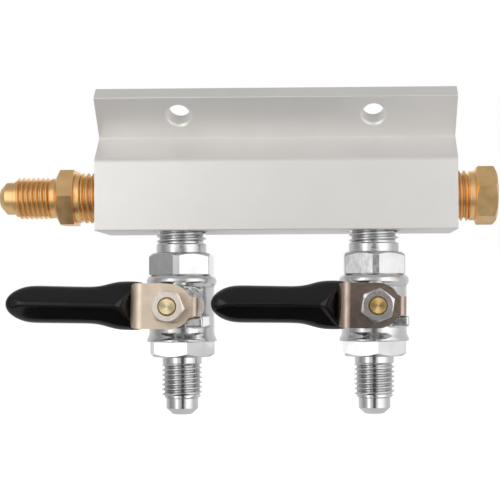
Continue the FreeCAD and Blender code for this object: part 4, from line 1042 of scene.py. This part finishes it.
# %% Floor
FLOOR = -0.125
clear_selection()
bpy.ops.mesh.primitive_plane_add(size=6, location=(0, 0, FLOOR))
floor = bpy.context.object
floor.name = "floor"
floor_finish = Finish("pale floor", roughness=0.9)
floor_finish.colour(floor_finish.noise(60.0, detail=2), (0.60, 0.60, 0.60), (0.62, 0.62, 0.62))
seen = floor_finish.nodes.new("ShaderNodeLightPath")
glow = floor_finish.ramp(seen.outputs["Is Camera Ray"], 0.0, 0.85, 0, 1)
floor_finish.shader.inputs["Emission Color"].default_value = (1, 1, 1, 1)
floor_finish.link(glow, floor_finish.shader.inputs["Emission Strength"])
floor.data.materials.append(floor_finish.material)
print("floor at", FLOOR)

# %% [markdown]
# The lamps are large, so that shadows have soft edges. The left one is the stronger: in the
# photo the block's front face is brighter at its left. A weak lamp behind lights the rims.

# %% Lamps
AIM = (0, 0, -0.045)


def lamp(name, place, width, height, power):
    """A rectangular lamp that faces the middle of the object."""
    data = bpy.data.lights.new(name, "AREA")
    data.shape = "RECTANGLE"
    data.size, data.size_y, data.energy = width, height, power
    light = bpy.data.objects.new(name, data)
    bpy.context.scene.collection.objects.link(light)
    light.location = place
    direction = Vector(AIM) - Vector(place)
    light.rotation_euler = direction.to_track_quat("-Z", "Y").to_euler()


lamp("left_softbox", (-0.42, -0.62, 0.10), 0.42, 0.42, 1.45)
lamp("right_softbox", (0.50, -0.58, 0.10), 0.40, 0.42, 1.14)
lamp("rim", (0.05, 0.50, 0.40), 0.5, 0.3, 0.40)
print("lamps ready")

# %% [markdown]
# Bright metal in a white room looks like white plastic: what draws it is the contrast of what it
# mirrors. Photographers stand cards round it, and so does this cell. A card is a plane that only
# reflections see, with a brightness that may fade from one edge to the other.

# %% Helper: a card


def card(name, centre, facing, width, height, shade, far_shade=None, lights=False):
    """A card with a brightness at one edge and at the far one. Some also light the object."""
    clear_selection()
    bpy.ops.mesh.primitive_plane_add(size=1, location=(0, 0, 0))
    plane = bpy.context.object
    plane.name = name
    plane.scale = (width, height, 1)
    plane.rotation_euler = (Vector(facing) - Vector(centre)).to_track_quat("Z", "Y").to_euler()
    plane.location = centre
    bpy.ops.object.transform_apply(location=True, rotation=True, scale=True)
    finish = Finish(name + " card", roughness=1.0)
    finish.shader.inputs["Base Color"].default_value = (0, 0, 0, 1)
    finish.shader.inputs["Specular IOR Level"].default_value = 0
    finish.shader.inputs["Emission Color"].default_value = (1, 1, 1, 1)
    split = finish.nodes.new("ShaderNodeSeparateXYZ")
    finish.link(finish.nodes["Texture Coordinate"].outputs["UV"], split.inputs["Vector"])
    far_shade = shade if far_shade is None else far_shade
    fade = finish.ramp(split.outputs["X"], shade, far_shade, 0, 1)
    finish.link(fade, finish.shader.inputs["Emission Strength"])
    plane.data.materials.append(finish.material)
    plane.visible_camera = False
    plane.visible_diffuse = lights
    plane.visible_shadow = False
    plane.visible_transmission = False


def around(angle, distance, height):
    """A place at this many degrees right of the camera's side, at a height."""
    turn = math.radians(angle)
    return (distance * math.sin(turn), -distance * math.cos(turn), height)


print("card helper ready")

# %% [markdown]
# The plated parts mirror the whole room, so the room is drawn as they show it: a ring of cards,
# each fading from one shade to the next. The bright zones are the softboxes left and right, and
# a dark card stands where the photographer did. Pairs are degrees right of the camera, and
# brightness. Further cards are the ceiling and the table, which is brighter under the object.

# %% Room
ROOM = [(-180, 1.10), (-155, 0.75), (-125, 0.62), (-105, 0.50), (-90, 0.30), (-76, 0.34),
        (-62, 0.45), (-52, 0.64), (-44, 1.50), (-34, 1.45), (-24, 0.75), (-14, 0.60), (6, 0.50),
        (16, 0.50), (24, 0.90), (32, 1.35), (50, 1.35), (66, 1.15), (80, 0.80), (92, 0.62),
        (120, 0.62), (155, 0.75), (180, 1.10)]
ROOM_RADIUS = 0.28
ROOM_TOP = 0.22
middle_height = (ROOM_TOP + FLOOR) / 2
for (low, dim), (high, bright) in zip(ROOM, ROOM[1:]):
    half = math.radians(high - low) / 2
    place = around((low + high) / 2, ROOM_RADIUS * math.cos(half), middle_height)
    width = 2.01 * ROOM_RADIUS * math.sin(half)
    card("room_%d" % (low + 180), place, (0, 0, middle_height), width, ROOM_TOP - FLOOR,
         bright, dim)
card("camera_card", around(4, 0.265, -0.077), (0, 0, -0.077), 0.088, 0.096, 0.14, 0.05)
card("ceiling_card", (0, -0.15, 0.40), (0, -0.15, 0), 1.3, 1.1, 0.44, lights=True)
card("floor_card", (0, -0.32, FLOOR + 0.003), (0, -0.32, 1), 1.0, 0.5, 0.25)
card("near_card", (0, 0.04, FLOOR + 0.003), (0, 0.04, 1), 1.0, 0.22, 0.62, lights=True)
card("shadow_card", (-0.025, -0.045, FLOOR + 0.005), (-0.025, -0.045, 1), 0.11, 0.045, 0.05)
print("room ready")

# %% [markdown]
# The Standard view shows the photo's colours as they are, where a film-like view would grey the
# white ground.

# %% Colour management
bpy.context.scene.view_settings.view_transform = "Standard"
clear_selection()
print("pieces done")
